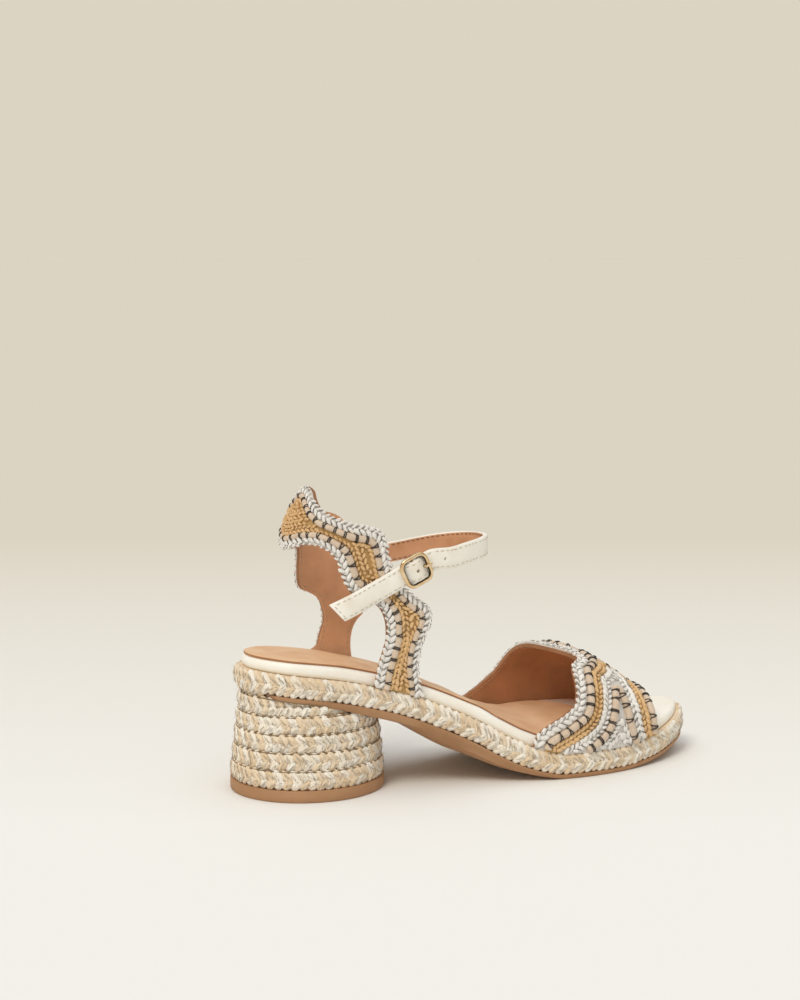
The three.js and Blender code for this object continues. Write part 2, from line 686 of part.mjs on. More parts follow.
function vamp() {
  const rearStrips = edgeStrips([BRAID, PIPING, CAMEL]);
  const frontStrips = edgeStrips([PIPING, CAMEL, CAMEL]);
  const middle = [0.25, 0.5, 0.75];
  const rearEnd = rearStrips[rearStrips.length - 1].from;
  const frontEnd = frontStrips[frontStrips.length - 1].from;
  const ats = Array.from({ length: VAMP_COLUMNS + 1 }, (unused, i) => (2 * i) / VAMP_COLUMNS - 1);
  ats.splice(1, 0, -1 + VAMP_FOOT);
  ats.splice(ats.length - 1, 0, 1 - VAMP_FOOT);
  ats.sort((a, b) => a - b);
  const rowsAt = (at) => {
    const rear = SOLE_LENGTH * vampRear(at);
    const front = SOLE_LENGTH * vampFront(at);
    return [
      ...rearStrips.map(({ from, out }) => ({ x: rear + from, out })),
      ...middle.map((share) => ({
        x: THREE.MathUtils.lerp(rear + rearEnd, front - frontEnd, share),
        out: share === 0.5 ? PIPING_RAISE : GROOVE_RAISE,
      })),
      ...frontStrips.map(({ from, out }) => ({ x: front - from, out })).reverse(),
    ];
  };
  const columns = ats.map((at) => {
    const inside = THREE.MathUtils.clamp(at, -1 + 0.002, 1 - 0.002);
    return rowsAt(at).map(({ x, out }) => {
      const point = vampPoint(x, at);
      const normal = sheetNormal(vampPoint, x, inside, 0.5, 0.002);
      if (normal.dot(new THREE.Vector3(0, point.y, point.z)) < 0) normal.negate();
      const outerPoint = point.clone().addScaledVector(normal, out);
      const innerPoint = point.clone().addScaledVector(normal, -WALL);
      if (Math.abs(at) === 1) {
        outerPoint.z = juteTop(outerPoint.x) + CLEARANCE;
        innerPoint.z = juteTop(innerPoint.x) + CLEARANCE;
      }
      return { outerPoint, innerPoint };
    });
  });
  return wallSolid(
    columns.map((column) => column.map(({ outerPoint }) => outerPoint)),
    columns.map((column) => column.map(({ innerPoint }) => innerPoint)),
  );
}

// Heel band: a wall bent round the heel. Distance runs along it from the rear centre, minus on the
// outer side, and height stands over the seat.
const SEAT_X = BAND_REAR + BAND_REAR_LENGTH + 16;
const seatHeight = juteTop(SEAT_X);

function bandPoint(distance, height) {
  const side = distance < 0 ? -1 : 1;
  const share = (height - seatHeight) / BAND_HEIGHT;
  const width = BAND_HALF_WIDTH * bandWidthShare(share);
  const rear = BAND_REAR + BAND_LEAN * bandLeanShare(share);
  const quarter = (Math.PI / 2) * Math.sqrt((BAND_REAR_LENGTH ** 2 + width ** 2) / 2);
  const far = Math.abs(distance);
  if (far < quarter) {
    const turn = (Math.PI / 2) * (far / quarter);
    const x = rear + BAND_REAR_LENGTH * (1 - Math.cos(turn));
    return new THREE.Vector3(x, side * width * Math.sin(turn), height);
  }
  const x = rear + BAND_REAR_LENGTH + far - quarter;
  const base = Math.abs(outlineY(x, side)) - WALL_INSET;
  const blend = THREE.MathUtils.smoothstep(height - juteTop(x), RIM_HEIGHT, 4 * RIM_HEIGHT);
  return new THREE.Vector3(x, side * THREE.MathUtils.lerp(base, width, blend), height);
}

// Low and top edge of the band at a station from 0, the outer base, to 1, the inner base
const bandStations = 2 * (BAND_EDGES.length - 1);
const bandRows = BAND_EDGES.map((row, i) => ({ ...row, at: i }));
const bandCurves = Object.fromEntries(
  ['low', 'lowHeight', 'top', 'topHeight'].map((name) => [name, smoothTable(bandRows, name)]),
);

function bandEdge(station, edge) {
  const half = BAND_EDGES.length - 1;
  const side = station <= half ? -1 : 1;
  const row = side < 0 ? station : bandStations - station;
  let distance = BAND_REACH * bandCurves[edge](row);
  let height = seatHeight + BAND_HEIGHT * bandCurves[`${edge}Height`](row);
  if (side > 0) {
    const share = (height - seatHeight) / BAND_HEIGHT;
    distance -= BAND_MEDIAL_SETBACK * (1 - THREE.MathUtils.smoothstep(share, 0.36, 0.74));
    if (edge === 'top') distance -= BAND_MEDIAL_TAPER * (1 - THREE.MathUtils.smoothstep(share, 0.25, 0.45));
    height -= BAND_MEDIAL_DROP * THREE.MathUtils.smoothstep(share, 0.2, 0.38)
      * (1 - THREE.MathUtils.smoothstep(share, 0.5, 0.72));
  }
  return new THREE.Vector2(side * distance, height);
}

function heelBand() {
  const strips = edgeStrips([BRAID, PIPING]);
  const stations = Array.from({ length: (bandStations * BAND_STEPS) / 2 + 1 }, (unused, i) => (2 * i) / BAND_STEPS);
  const columns = stations.map((station) => {
    const low = bandEdge(station, 'low');
    const top = bandEdge(station, 'top');
    const width = low.distanceTo(top);
    const rows = [
      ...strips.map(({ from, out }) => ({ share: from / width, out })),
      { share: 0.5, out: CAMEL_RAISE },
      ...strips.map(({ from, out }) => ({ share: 1 - from / width, out })).reverse(),
    ];
    return rows.map(({ share, out }) => {
      const flat = low.clone().lerp(top, share);
      const isBase = station === 0 || station === bandStations;
      const point = bandPoint(flat.x, flat.y);
      if (isBase) point.copy(bandPoint(flat.x, juteTop(point.x) + CLEARANCE));
      const ahead = bandPoint(flat.x + 0.3, point.z);
      const behind = bandPoint(flat.x - 0.3, point.z);
      const along = ahead.sub(behind);
      const normal = new THREE.Vector3(-along.y, along.x, 0).normalize();
      if (normal.dot(new THREE.Vector3(point.x - BAND_REAR - BAND_REAR_LENGTH, point.y, 0)) < 0) normal.negate();
      const outerPoint = point.clone().addScaledVector(normal, out);
      const innerPoint = point.clone().addScaledVector(normal, -WALL);
      if (isBase) {
        outerPoint.z = juteTop(outerPoint.x) + CLEARANCE;
        innerPoint.z = juteTop(innerPoint.x) + CLEARANCE;
      }
      return { outerPoint, innerPoint };
    });
  });
  return wallSolid(
    columns.map((column) => column.map(({ outerPoint }) => outerPoint)),
    columns.map((column) => column.map(({ innerPoint }) => innerPoint)),
  );
}

// Buckle: its own axes run forward along the strap, out from the ankle and across the strap
const strapOut = PIPING_RAISE + 2 * CLEARANCE + STRAP_THICKNESS / 2;
const buckleCentre = new THREE.Vector3(
  BUCKLE_X,
  -(BAND_HALF_WIDTH * bandWidthShare(0.52) + strapOut + 1.9),
  seatHeight + BAND_HEIGHT * BUCKLE_HEIGHT,
);
const buckleForward = new THREE.Vector3(Math.cos(BUCKLE_ANGLE), 0, Math.sin(BUCKLE_ANGLE));
const buckleOut = new THREE.Vector3(0, -1, 0);
const buckleAcross = new THREE.Vector3(-Math.sin(BUCKLE_ANGLE), 0, Math.cos(BUCKLE_ANGLE));

function inBuckle(along, out, across = 0) {
  return buckleCentre.clone()
    .addScaledVector(buckleForward, along * BUCKLE_BAR)
    .addScaledVector(buckleOut, out * BUCKLE_BAR)
    .addScaledVector(buckleAcross, across * BUCKLE_BAR);
}

// Round section of a bar about a point
function roundSection(centre, first, second, radius, secondRadius = radius, sides = 8) {
  return Array.from({ length: sides }, (unused, i) => {
    const turn = (2 * Math.PI * i) / sides;
    return centre.clone()
      .addScaledVector(first, radius * Math.cos(turn))
      .addScaledVector(second, secondRadius * Math.sin(turn));
  });
}

// Round bar along a smooth path
function barAlong(points, radius, steps) {
  const curve = new THREE.CatmullRomCurve3(points, false, 'centripetal');
  const sections = Array.from({ length: steps + 1 }, (unused, i) => {
    const tangent = curve.getTangent(i / steps);
    const first = buckleAcross.clone().addScaledVector(tangent, -tangent.dot(buckleAcross)).normalize();
    return roundSection(curve.getPoint(i / steps), first, tangent.clone().cross(first), radius);
  });
  return sweptSolid(sections, false);
}

function buckleFrame() {
  const halfLength = (BUCKLE_LENGTH - BUCKLE_BAR_WIDTH) / 2;
  const halfWidth = (BUCKLE_WIDTH - BUCKLE_BAR_WIDTH) / 2;
  const cornerSteps = 4;
  const sections = [];
  for (const [x, y, start] of [[1, 1, 0], [-1, 1, 1], [-1, -1, 2], [1, -1, 3]]) {
    for (let k = 0; k <= cornerSteps; k += 1) {
      const turn = (Math.PI / 2) * (start + k / cornerSteps);
      const outward = buckleForward.clone().multiplyScalar(Math.cos(turn))
        .addScaledVector(buckleAcross, Math.sin(turn));
      const centre = buckleCentre.clone()
        .addScaledVector(buckleForward, x * (halfLength - BUCKLE_CORNER))
        .addScaledVector(buckleAcross, y * (halfWidth - BUCKLE_CORNER))
        .addScaledVector(outward, BUCKLE_CORNER);
      sections.push(roundSection(centre, outward, buckleOut, BUCKLE_BAR_WIDTH / 2, BUCKLE_BAR / 2));
    }
  }
  const frame = sweptSolid(sections, true);
  const reach = halfWidth / BUCKLE_BAR;
  const centreBar = barAlong([
    inBuckle(0, 0, -reach),
    inBuckle(0, -0.55, -reach + 0.5),
    inBuckle(0, -0.89, -reach + 1.1),
    inBuckle(0, -0.89, 0),
    inBuckle(0, -0.89, reach - 1.1),
    inBuckle(0, -0.55, reach - 0.5),
    inBuckle(0, 0, reach),
  ], 0.45 * BUCKLE_BAR, 14);
  return fromManifold(toManifold(frame).add(toManifold(centreBar)));
}

function buckleProng() {
  return barAlong(PRONG_PATH.map(({ along, out }) => inBuckle(along, out)), PRONG_DIAMETER / 2, 20);
}

// Flat section of a strap with eased edges
function strapSection(centre, tangent, across, width, thickness) {
  const out = across.clone().cross(tangent).normalize();
  const ease = 0.45 * thickness;
  const corners = [
    [0.5 * width, -0.5 * thickness + ease], [0.5 * width, 0.5 * thickness - ease],
    [0.5 * width - ease, 0.5 * thickness], [-0.5 * width + ease, 0.5 * thickness],
    [-0.5 * width, 0.5 * thickness - ease], [-0.5 * width, -0.5 * thickness + ease],
    [-0.5 * width + ease, -0.5 * thickness], [0.5 * width - ease, -0.5 * thickness],
  ];
  return corners.map(([w, n]) => centre.clone().addScaledVector(across, w).addScaledVector(out, n));
}

// Front edge of the heel band at a height, on the outer (side -1) or the inner side (side 1)
function bandFrontX(side, height) {
  let low = 6;
  let high = 14;
  const station = (row) => (side < 0 ? row : bandStations - row);
  for (let i = 0; i < 24; i += 1) {
    const middle = (low + high) / 2;
    if (bandEdge(station(middle), 'top').y < height) low = middle;
    else high = middle;
  }
  return bandPoint(bandEdge(station(low), 'top').x, height).x;
}

function ankleStrap() {
  const startHeight = seatHeight + STRAP_START * BAND_HEIGHT;
  const startWidth = BAND_HALF_WIDTH * bandWidthShare(STRAP_START) - WALL / 2;
  const startX = bandFrontX(1, startHeight) + CLEARANCE;
  const points = [
    new THREE.Vector3(startX, startWidth, startHeight),
    new THREE.Vector3(startX + STRAP_WIDTH, startWidth, startHeight + 0.12 * STRAP_WIDTH),
  ];
  for (const { along, across, height } of STRAP_LOOP) {
    const x = along * STRAP_REACH;
    points.push(new THREE.Vector3(x, across * STRAP_HALF_WIDTH, seatHeight + height * BAND_HEIGHT));
  }
  const tail = STRAP_TAIL.map(({ back, down }) => onBand(
    BUCKLE_X - back * STRAP_WIDTH,
    buckleCentre.z - down * STRAP_WIDTH,
    strapOut,
  ));
  const waved = STRAP_IN_BUCKLE.map(({ along, out }) => inBuckle(along, out));
  const level = STRAP_IN_BUCKLE.map(({ along }) => inBuckle(along, STRAP_IN_BUCKLE[0].out));
  const curve = new THREE.CatmullRomCurve3([...points, ...waved, ...tail], false, 'centripetal');
  const guide = new THREE.CatmullRomCurve3([...points, ...level, ...tail], false, 'centripetal');
  const stations = (curve.points.length - 1) * STRAP_STEPS;
  const sections = Array.from({ length: stations + 1 }, (unused, i) => {
    const lie = guide.getTangent(i / stations);
    const flat = new THREE.Vector3(-lie.y, lie.x, 0).normalize();
    const across = lie.clone().cross(flat).normalize();
    const tangent = curve.getTangent(i / stations);
    return strapSection(curve.getPoint(i / stations), tangent, across, STRAP_WIDTH, STRAP_THICKNESS);
  });
  sections[0].forEach((corner, i) => {
    const shift = bandFrontX(1, corner.z) + 2 * CLEARANCE - corner.x;
    for (let k = 0; k < STRAP_STEPS; k += 1) sections[k][i].x += shift * (1 - k / STRAP_STEPS);
  });
  const tailCentre = curve.getPoint(1);
  const tailTangent = curve.getTangent(1);
  for (const corner of sections[stations]) {
    const height = corner.z - tailCentre.z - (corner.x - tailCentre.x) * (tailTangent.z / tailTangent.x);
    corner.addScaledVector(tailTangent, STRAP_TAIL_SLANT * height);
  }
  let strap = toManifold(sweptSolid(sections, false));
  for (const reach of STRAP_HOLES) {
    let station = (points.length + 6) / (curve.points.length - 1);
    while (curve.getPoint(station).x < BUCKLE_X + reach * Math.cos(BUCKLE_ANGLE)) station -= 0.001;
    const middle = curve.getPoint(station);
    const axis = [-STRAP_THICKNESS, STRAP_THICKNESS].map((out) => middle.clone().addScaledVector(buckleOut, out));
    const radius = STRAP_HOLE_DIAMETER / 2 + (reach === PRONG_HOLE ? 2 * CLEARANCE : 0);
    strap = strap.subtract(toManifold(barAlong(axis, radius, 1)));
  }
  return fromManifold(strap);
}

// Point at x and z over the outer side of the heel band, raised by out
function onBand(x, z, out) {
  const share = (z - seatHeight) / BAND_HEIGHT;
  const width = BAND_HALF_WIDTH * bandWidthShare(share);
  const centre = BAND_REAR + BAND_REAR_LENGTH;
  const back = Math.max(centre - x, 0) / (BAND_REAR_LENGTH + out);
  return new THREE.Vector3(x, -(width + out) * Math.sqrt(1 - back * back), z);
}

function buckleTab() {
  const curve = new THREE.CatmullRomCurve3(
    TAB_PATH.map(({ along, out }) => inBuckle(along, out)),
    false,
    'centripetal',
  );
  const bends = 2 * (TAB_PATH.length - 1);
  const stations = Array.from({ length: bends - 1 }, (unused, i) => i / bends);
  const sections = [...stations, 1].map((station) => {
    const tangent = curve.getTangent(station);
    return strapSection(curve.getPoint(station), tangent, buckleAcross, TAB_WIDTH, TAB_THICKNESS);
  });
  for (const corner of sections[sections.length - 1]) corner.x = bandFrontX(-1, corner.z) + 2 * CLEARANCE;
  return sweptSolid(sections, false);
}

// Materials
const MATERIALS = {
  jute: new THREE.MeshStandardMaterial({ color: 0xdccbac, roughness: 0.95, metalness: 0 }),
  tanRubber: new THREE.MeshStandardMaterial({ color: 0xa9805c, roughness: 0.6, metalness: 0 }),
  tanLeather: new THREE.MeshStandardMaterial({ color: 0xd9ae86, roughness: 0.6, metalness: 0 }),
  creamLeather: new THREE.MeshStandardMaterial({ color: 0xefeae0, roughness: 0.5, metalness: 0 }),
  crochet: new THREE.MeshStandardMaterial({ color: 0xd8c29a, roughness: 0.95, metalness: 0 }),
  gold: new THREE.MeshStandardMaterial({ color: 0xc9a24f, roughness: 0.25, metalness: 1 }),
};

const PIECES = [
  ['heel_top_piece', heelTopPiece, 'tanRubber'],
  ['heel_block', heelBlock, 'jute'],
  ['outsole', outsole, 'tanRubber'],
  ['jute_edge_band', juteEdgeBand, 'jute'],
  ['footbed', footbed, 'creamLeather'],
  ['sock', sock, 'tanLeather'],
  ['vamp', vamp, 'crochet'],
  ['heel_band', heelBand, 'crochet'],
  ['ankle_strap', ankleStrap, 'creamLeather'],
  ['buckle_frame', buckleFrame, 'gold'],
  ['buckle_prong', buckleProng, 'gold'],
  ['buckle_tab', buckleTab, 'creamLeather'],
];

// The sandal stands on the floor, centred under its own box
const sandal = new THREE.Group();
const shoe = new THREE.Group();
for (const [name, build, material] of PIECES) {
  const mesh = new THREE.Mesh(build(), MATERIALS[material]);
  mesh.name = name;
  shoe.add(mesh);
}
const box = new THREE.Box3().setFromObject(shoe);
const centre = box.getCenter(new THREE.Vector3());
shoe.position.set(-centre.x, -centre.y, -box.min.z);
sandal.add(shoe);

export default sandal;
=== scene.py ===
"""Dresses a low heel sandal, right shoe: jute braid, crochet, piping, leather and a gold buckle."""

import math
import random
from bisect import bisect_right

import bmesh
import bpy
import numpy as np
from mathutils import Matrix, Vector


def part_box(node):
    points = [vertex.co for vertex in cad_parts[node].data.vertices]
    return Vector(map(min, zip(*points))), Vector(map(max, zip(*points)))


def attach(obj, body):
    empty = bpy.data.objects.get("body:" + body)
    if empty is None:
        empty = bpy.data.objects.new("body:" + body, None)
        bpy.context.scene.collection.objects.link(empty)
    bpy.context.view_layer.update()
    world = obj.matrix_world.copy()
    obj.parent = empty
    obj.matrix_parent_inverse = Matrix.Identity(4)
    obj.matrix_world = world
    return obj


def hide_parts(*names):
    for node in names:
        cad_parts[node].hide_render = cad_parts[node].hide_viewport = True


bl_info = {
    "name": "Low heel sandal",
    "version": (1, 0, 0),
    "blender": (4, 5, 0),
    "location": "3D View > Sidebar > Sandal",
    "description": "Jute, crochet, leather and metal of a right low heel sandal",
    "category": "Object",
}

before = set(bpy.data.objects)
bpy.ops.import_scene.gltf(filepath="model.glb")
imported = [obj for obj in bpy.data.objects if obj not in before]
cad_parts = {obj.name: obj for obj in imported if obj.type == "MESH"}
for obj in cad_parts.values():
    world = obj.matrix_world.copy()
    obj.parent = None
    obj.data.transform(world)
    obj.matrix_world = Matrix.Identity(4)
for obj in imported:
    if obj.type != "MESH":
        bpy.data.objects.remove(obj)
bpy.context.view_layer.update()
MM = 0.001

# Sizes of the shoe in millimetres, from heel (X = 0) to toe, Y to the inner side, Z up
SOLE_LENGTH = 241.5
BALL_HALF_WIDTH = 42.0
HEEL_LIFT = 48.4
TOE_SPRING = 9.2
OUTSOLE_EDGE = 2.4
OUTSOLE_INSET = 0.7
WAIST_DEPTH = 7.0
WAIST_BEVEL = 8.0
JUTE_HEIGHT = 9.6
JUTE_DEPTH = 5.0
RIM_HEIGHT = 5.6
RIM_INSET = 3.8
SOCK_THICKNESS = 1.2
SOCK_INSET = 3.8
SOCK_FRONT = 184.5
HEEL_CENTRE = 35.3
HEEL_BOTTOM = (37.2, 34.4)
HEEL_TOP = (32.6, 28.4)
TOP_PIECE_HEIGHT = 6.0
ROW_PITCH = 8.3
WALL = 2.6
WALL_INSET = 0.6
VAMP_HEIGHT = 46.0
VAMP_SKEW = 4.0
VAMP_ROUNDNESS = 2.8
VAMP_FOOT = 0.1
BAND_REACH = 80.0
BAND_HEIGHT = 96.0
BAND_SETBACK = 9.0
BAND_DROP = 4.0
BAND_TAPER = 3.0
BAND_REAR = 23.7
BAND_REAR_LENGTH = 26.5
BAND_HALF_WIDTH = 30.4
BAND_LEAN = 13.0
STRAP_WIDTH = 10.2
STRAP_THICKNESS = 2.2
STRAP_REACH = 130.0
STRAP_HALF_WIDTH = 30.0
STRAP_START = 0.555
STRAP_TAIL_SLANT = 0.33
BUCKLE_LENGTH = 15.0
BUCKLE_WIDTH = 14.9
BUCKLE_CORNER = 3.4
BAR = 1.8
BAR_WIDTH = 2.0
BUCKLE_X = 77.9
BUCKLE_HEIGHT = 0.594
BUCKLE_ANGLE = math.radians(25)

# Half widths of the sole by share of its length: outer side, inner side
OUTLINE = (
    (0, 0, 0), (0.002, 0.115, 0.115), (0.008, 0.22, 0.22), (0.025, 0.37, 0.37),
    (0.05, 0.51, 0.51), (0.085, 0.625, 0.625), (0.14, 0.69, 0.69), (0.22, 0.715, 0.7),
    (0.3, 0.74, 0.69), (0.38, 0.78, 0.675), (0.46, 0.85, 0.69), (0.54, 0.93, 0.77),
    (0.62, 0.995, 0.9), (0.68, 1.01, 0.97), (0.74, 0.98, 0.985), (0.8, 0.905, 0.93),
    (0.86, 0.785, 0.815), (0.91, 0.63, 0.655), (0.95, 0.45, 0.48), (0.98, 0.25, 0.31),
    (0.995, 0.09, 0.17), (0.999, 0.035, 0.095), (1, -0.03, 0.03),
)

# Seam of outsole and jute by share of the length: heel lift, toe spring, depth of the waist
PROFILE = (
    (0, 1, 0, 0), (0.06, 0.967, 0, 0), (0.16, 0.893, 0, 0), (0.25, 0.785, 0, 0),
    (0.29, 0.727, 0, 0.12), (0.35, 0.615, 0, 0.8), (0.4, 0.505, 0, 1), (0.45, 0.38, 0, 0.86),
    (0.5, 0.233, 0, 0.62), (0.55, 0.112, 0, 0.32), (0.6, 0.031, 0, 0.06), (0.64, 0, 0, 0),
    (0.77, 0, 0, 0), (0.82, 0, 0.09, 0), (0.88, 0, 0.3, 0), (0.94, 0, 0.62, 0), (1, 0, 1, 0),
)
RIM_PROFILE = ((0, 1), (0.88, 1), (0.93, 0.92), (0.97, 0.75), (1, 0.62))

# Ridge of the vamp, then its rear and front edge from the outer base to the inner base
VAMP_RIDGE = (
    (0.5, 0.83), (0.56, 0.94), (0.63, 1.005), (0.68, 0.965), (0.735, 0.905),
    (0.78, 0.79), (0.83, 0.595), (0.875, 0.39), (0.92, 0.22),
)
VAMP_EDGES = (
    (-1, 0.56, 0.865), (-0.9, 0.568, 0.862), (-0.8, 0.592, 0.861), (-0.71, 0.63, 0.86),
    (-0.64, 0.656, 0.86), (-0.5, 0.668, 0.862), (-0.37, 0.678, 0.867), (-0.24, 0.714, 0.875),
    (-0.05, 0.7, 0.888), (0.1, 0.678, 0.896), (0.3, 0.665, 0.898), (0.45, 0.652, 0.894),
    (0.6, 0.628, 0.889), (0.72, 0.587, 0.885), (0.88, 0.537, 0.88), (1, 0.52, 0.877),
)

# Heel band from a leg's base to the rear centre: low edge (reach, height), top edge (reach, height)
BAND_EDGES = (
    (0.644, 0, 0.956, 0), (0.67, 0.115, 0.938, 0.109), (0.7, 0.203, 0.95, 0.182),
    (0.72, 0.266, 0.982, 0.256), (0.717, 0.323, 1.012, 0.308), (0.7, 0.375, 1.018, 0.359),
    (0.665, 0.42, 0.994, 0.409), (0.594, 0.451, 0.919, 0.456), (0.525, 0.472, 0.844, 0.505),
    (0.484, 0.498, 0.79, 0.552), (0.454, 0.536, 0.757, 0.609), (0.428, 0.585, 0.737, 0.667),
    (0.406, 0.636, 0.715, 0.719), (0.377, 0.672, 0.682, 0.771), (0.337, 0.697, 0.625, 0.805),
    (0.294, 0.712, 0.55, 0.823), (0.254, 0.719, 0.469, 0.832), (0.212, 0.72, 0.394, 0.85),
    (0.169, 0.715, 0.305, 0.874), (0.124, 0.705, 0.218, 0.902), (0.079, 0.695, 0.13, 0.945),
    (0.038, 0.687, 0.056, 0.986), (0, 0.684, 0, 0.996),
)
# Half width and forward lean of the band by height
BAND_SHAPE = (
    (0, 1, 0), (0.12, 1, 0), (0.52, 0.938, 0), (0.66, 0.912, 0.02), (0.8, 0.888, 0.2),
    (0.9, 0.873, 0.6), (1, 0.858, 1),
)

# Front loop of the strap: along, across, height
STRAP_LOOP = (
    (0.615, 0.86, 0.582), (0.71, 0.85, 0.597), (0.79, 0.81, 0.614), (0.862, 0.675, 0.632),
    (0.922, 0.43, 0.648), (0.957, 0.1, 0.66), (0.96, -0.24, 0.665), (0.928, -0.56, 0.667),
    (0.87, -0.81, 0.664), (0.806, -0.95, 0.655), (0.745, -1.015, 0.642),
)
# In the buckle, in bar diameters: along, out
STRAP_IN_BUCKLE = (
    (5.6, -1.25), (4.3, -1.4), (3.5, -1.42), (2.7, -1.08), (1.8, -0.45), (0.8, 0.25),
    (0, 0.48), (-0.8, 0.25), (-1.8, -0.45), (-2.7, -1.08), (-3.5, -1.42), (-4.3, -1.4),
)
# Tail, in strap widths: back, down
STRAP_TAIL = ((1.05, 0.475), (1.5, 0.69), (2.1, 0.965), (2.7, 1.25), (3.25, 1.51), (3.78, 1.77))
PRONG_PATH = (
    (1, -1.2), (1.65, -1.7), (2.2, -1.68), (2.42, -0.85), (2.5, 0.3), (2.8, 0.98), (3.5, 1.12),
    (4.5, 0.98),
)
TAB_PATH = ((0.35, -1.98), (-0.55, -2.12), (-1.45, -2.55), (-2, -2.85), (-2.6, -2.95), (-5.6, -2.95))


def smooth_table(rows, column):
    """A smooth curve through one column of a table, with no overshoot between its rows."""
    at = np.array([row[0] for row in rows], float)
    value = np.array([row[column] for row in rows], float)
    width = np.diff(at)
    secant = np.diff(value) / width
    slope = np.zeros_like(value)
    slope[0], slope[-1] = secant[0], secant[-1]
    for i in range(1, len(value) - 1):
        if secant[i - 1] * secant[i] > 0:
            slope[i] = 2 * secant[i - 1] * secant[i] / (secant[i - 1] + secant[i])

    rows_at, rows_value, rows_slope = at.tolist(), value.tolist(), slope.tolist()

    def curve(x):
        if isinstance(x, (int, float)):
            x = min(max(x, rows_at[0]), rows_at[-1])
            i = min(bisect_right(rows_at, x) - 1, len(rows_at) - 2)
            step = rows_at[i + 1] - rows_at[i]
            t = (x - rows_at[i]) / step
            low, high = rows_value[i], rows_value[i + 1]
            lean = (t**3 - 2 * t**2 + t) * rows_slope[i] + (t**3 - t**2) * rows_slope[i + 1]
            return low + (3 * t**2 - 2 * t**3) * (high - low) + lean * step
        x = np.clip(x, at[0], at[-1])
        i = np.clip(np.searchsorted(at, x, side="right") - 1, 0, len(width) - 1)
        t = (x - at[i]) / width[i]
        rise = (2 * t**3 - 3 * t**2 + 1) * value[i] + (3 * t**2 - 2 * t**3) * value[i + 1]
        lean = (t**3 - 2 * t**2 + t) * slope[i] + (t**3 - t**2) * slope[i + 1]
        return rise + lean * width[i]

    return curve


lateral_share = smooth_table(OUTLINE, 1)
medial_share = smooth_table(OUTLINE, 2)
lift_share = smooth_table(PROFILE, 1)
spring_share = smooth_table(PROFILE, 2)
waist_share = smooth_table(PROFILE, 3)
rim_share = smooth_table(RIM_PROFILE, 1)
ridge_share = smooth_table(VAMP_RIDGE, 1)
vamp_rear = smooth_table(VAMP_EDGES, 1)
vamp_front = smooth_table(VAMP_EDGES, 2)
band_width = smooth_table(BAND_SHAPE, 1)
band_lean = smooth_table(BAND_SHAPE, 2)
BAND_ROWS = len(BAND_EDGES) - 1
band_curves = [smooth_table([(i, *row) for i, row in enumerate(BAND_EDGES)], c) for c in (1, 2, 3, 4)]


def shoe_origin():
    """Place of the shoe's own zero in the row frame, read from the heel's top piece."""
    low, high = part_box("heel_top_piece")
    return Vector(((low.x + high.x) / 2 - HEEL_CENTRE * MM, (low.y + high.y) / 2, low.z))


ORIGIN = shoe_origin()


def place(point):
    """A point of the shoe in millimetres as a point of the row frame in metres."""
    return ORIGIN + Vector(point) * MM


def smoothstep(x, low, high):
    t = (x - low) / (high - low)
    t = min(max(t, 0.0), 1.0) if isinstance(t, float) else np.clip(t, 0, 1)
    return t * t * (3 - 2 * t)


# The sole's lines
def seam_height(x):
    share = x / SOLE_LENGTH
    return OUTSOLE_EDGE + HEEL_LIFT * lift_share(share) + TOE_SPRING * spring_share(share)


def upright(x, thickness):
    """A thickness square to the sloping sole, measured upright."""
    slope = seam_height(x + 0.5) - seam_height(x - 0.5)
    return thickness * (math.hypot(1, slope) if isinstance(x, float) else np.hypot(1, slope))


def jute_top(x):
    return seam_height(x) + upright(x, JUTE_HEIGHT)


def rim_height(x):
    return RIM_HEIGHT * rim_share(x / SOLE_LENGTH)


def rim_top(x):
    return seam_height(x) + upright(x, JUTE_HEIGHT + rim_height(x))


def outsole_bottom(x):
    return seam_height(x) - OUTSOLE_EDGE


def outline_y(x, side):
    share = x / SOLE_LENGTH
    return BALL_HALF_WIDTH * (-lateral_share(share) if side < 0 else medial_share(share))


def outline_points(count=240):
    """The sole's edge from the rear round the outer side to the toe and back on the inner side."""
    points = []
    for i in range(count):
        outer = i <= count // 2
        turn = math.pi * (i if outer else count - i) / (count // 2)
        x = SOLE_LENGTH * (1 - math.cos(turn)) / 2
        ends = i in (0, count // 2)
        y = (outline_y(x, -1) + outline_y(x, 1)) / 2 if ends else outline_y(x, -1 if outer else 1)
        points.append((x, float(y)))
    return np.array(points)


EDGE = outline_points()
EDGE_ALONG = np.roll(EDGE, -1, 0) - np.roll(EDGE, 1, 0)
EDGE_ALONG /= np.linalg.norm(EDGE_ALONG, axis=1)[:, None]


def edge_loop(inset, height_at):
    """The sole's edge moved inwards, with a height for each point."""
    x = EDGE[:, 0] - EDGE_ALONG[:, 1] * inset
    y = EDGE[:, 1] + EDGE_ALONG[:, 0] * inset
    return np.stack([x, y, height_at(x)], 1)


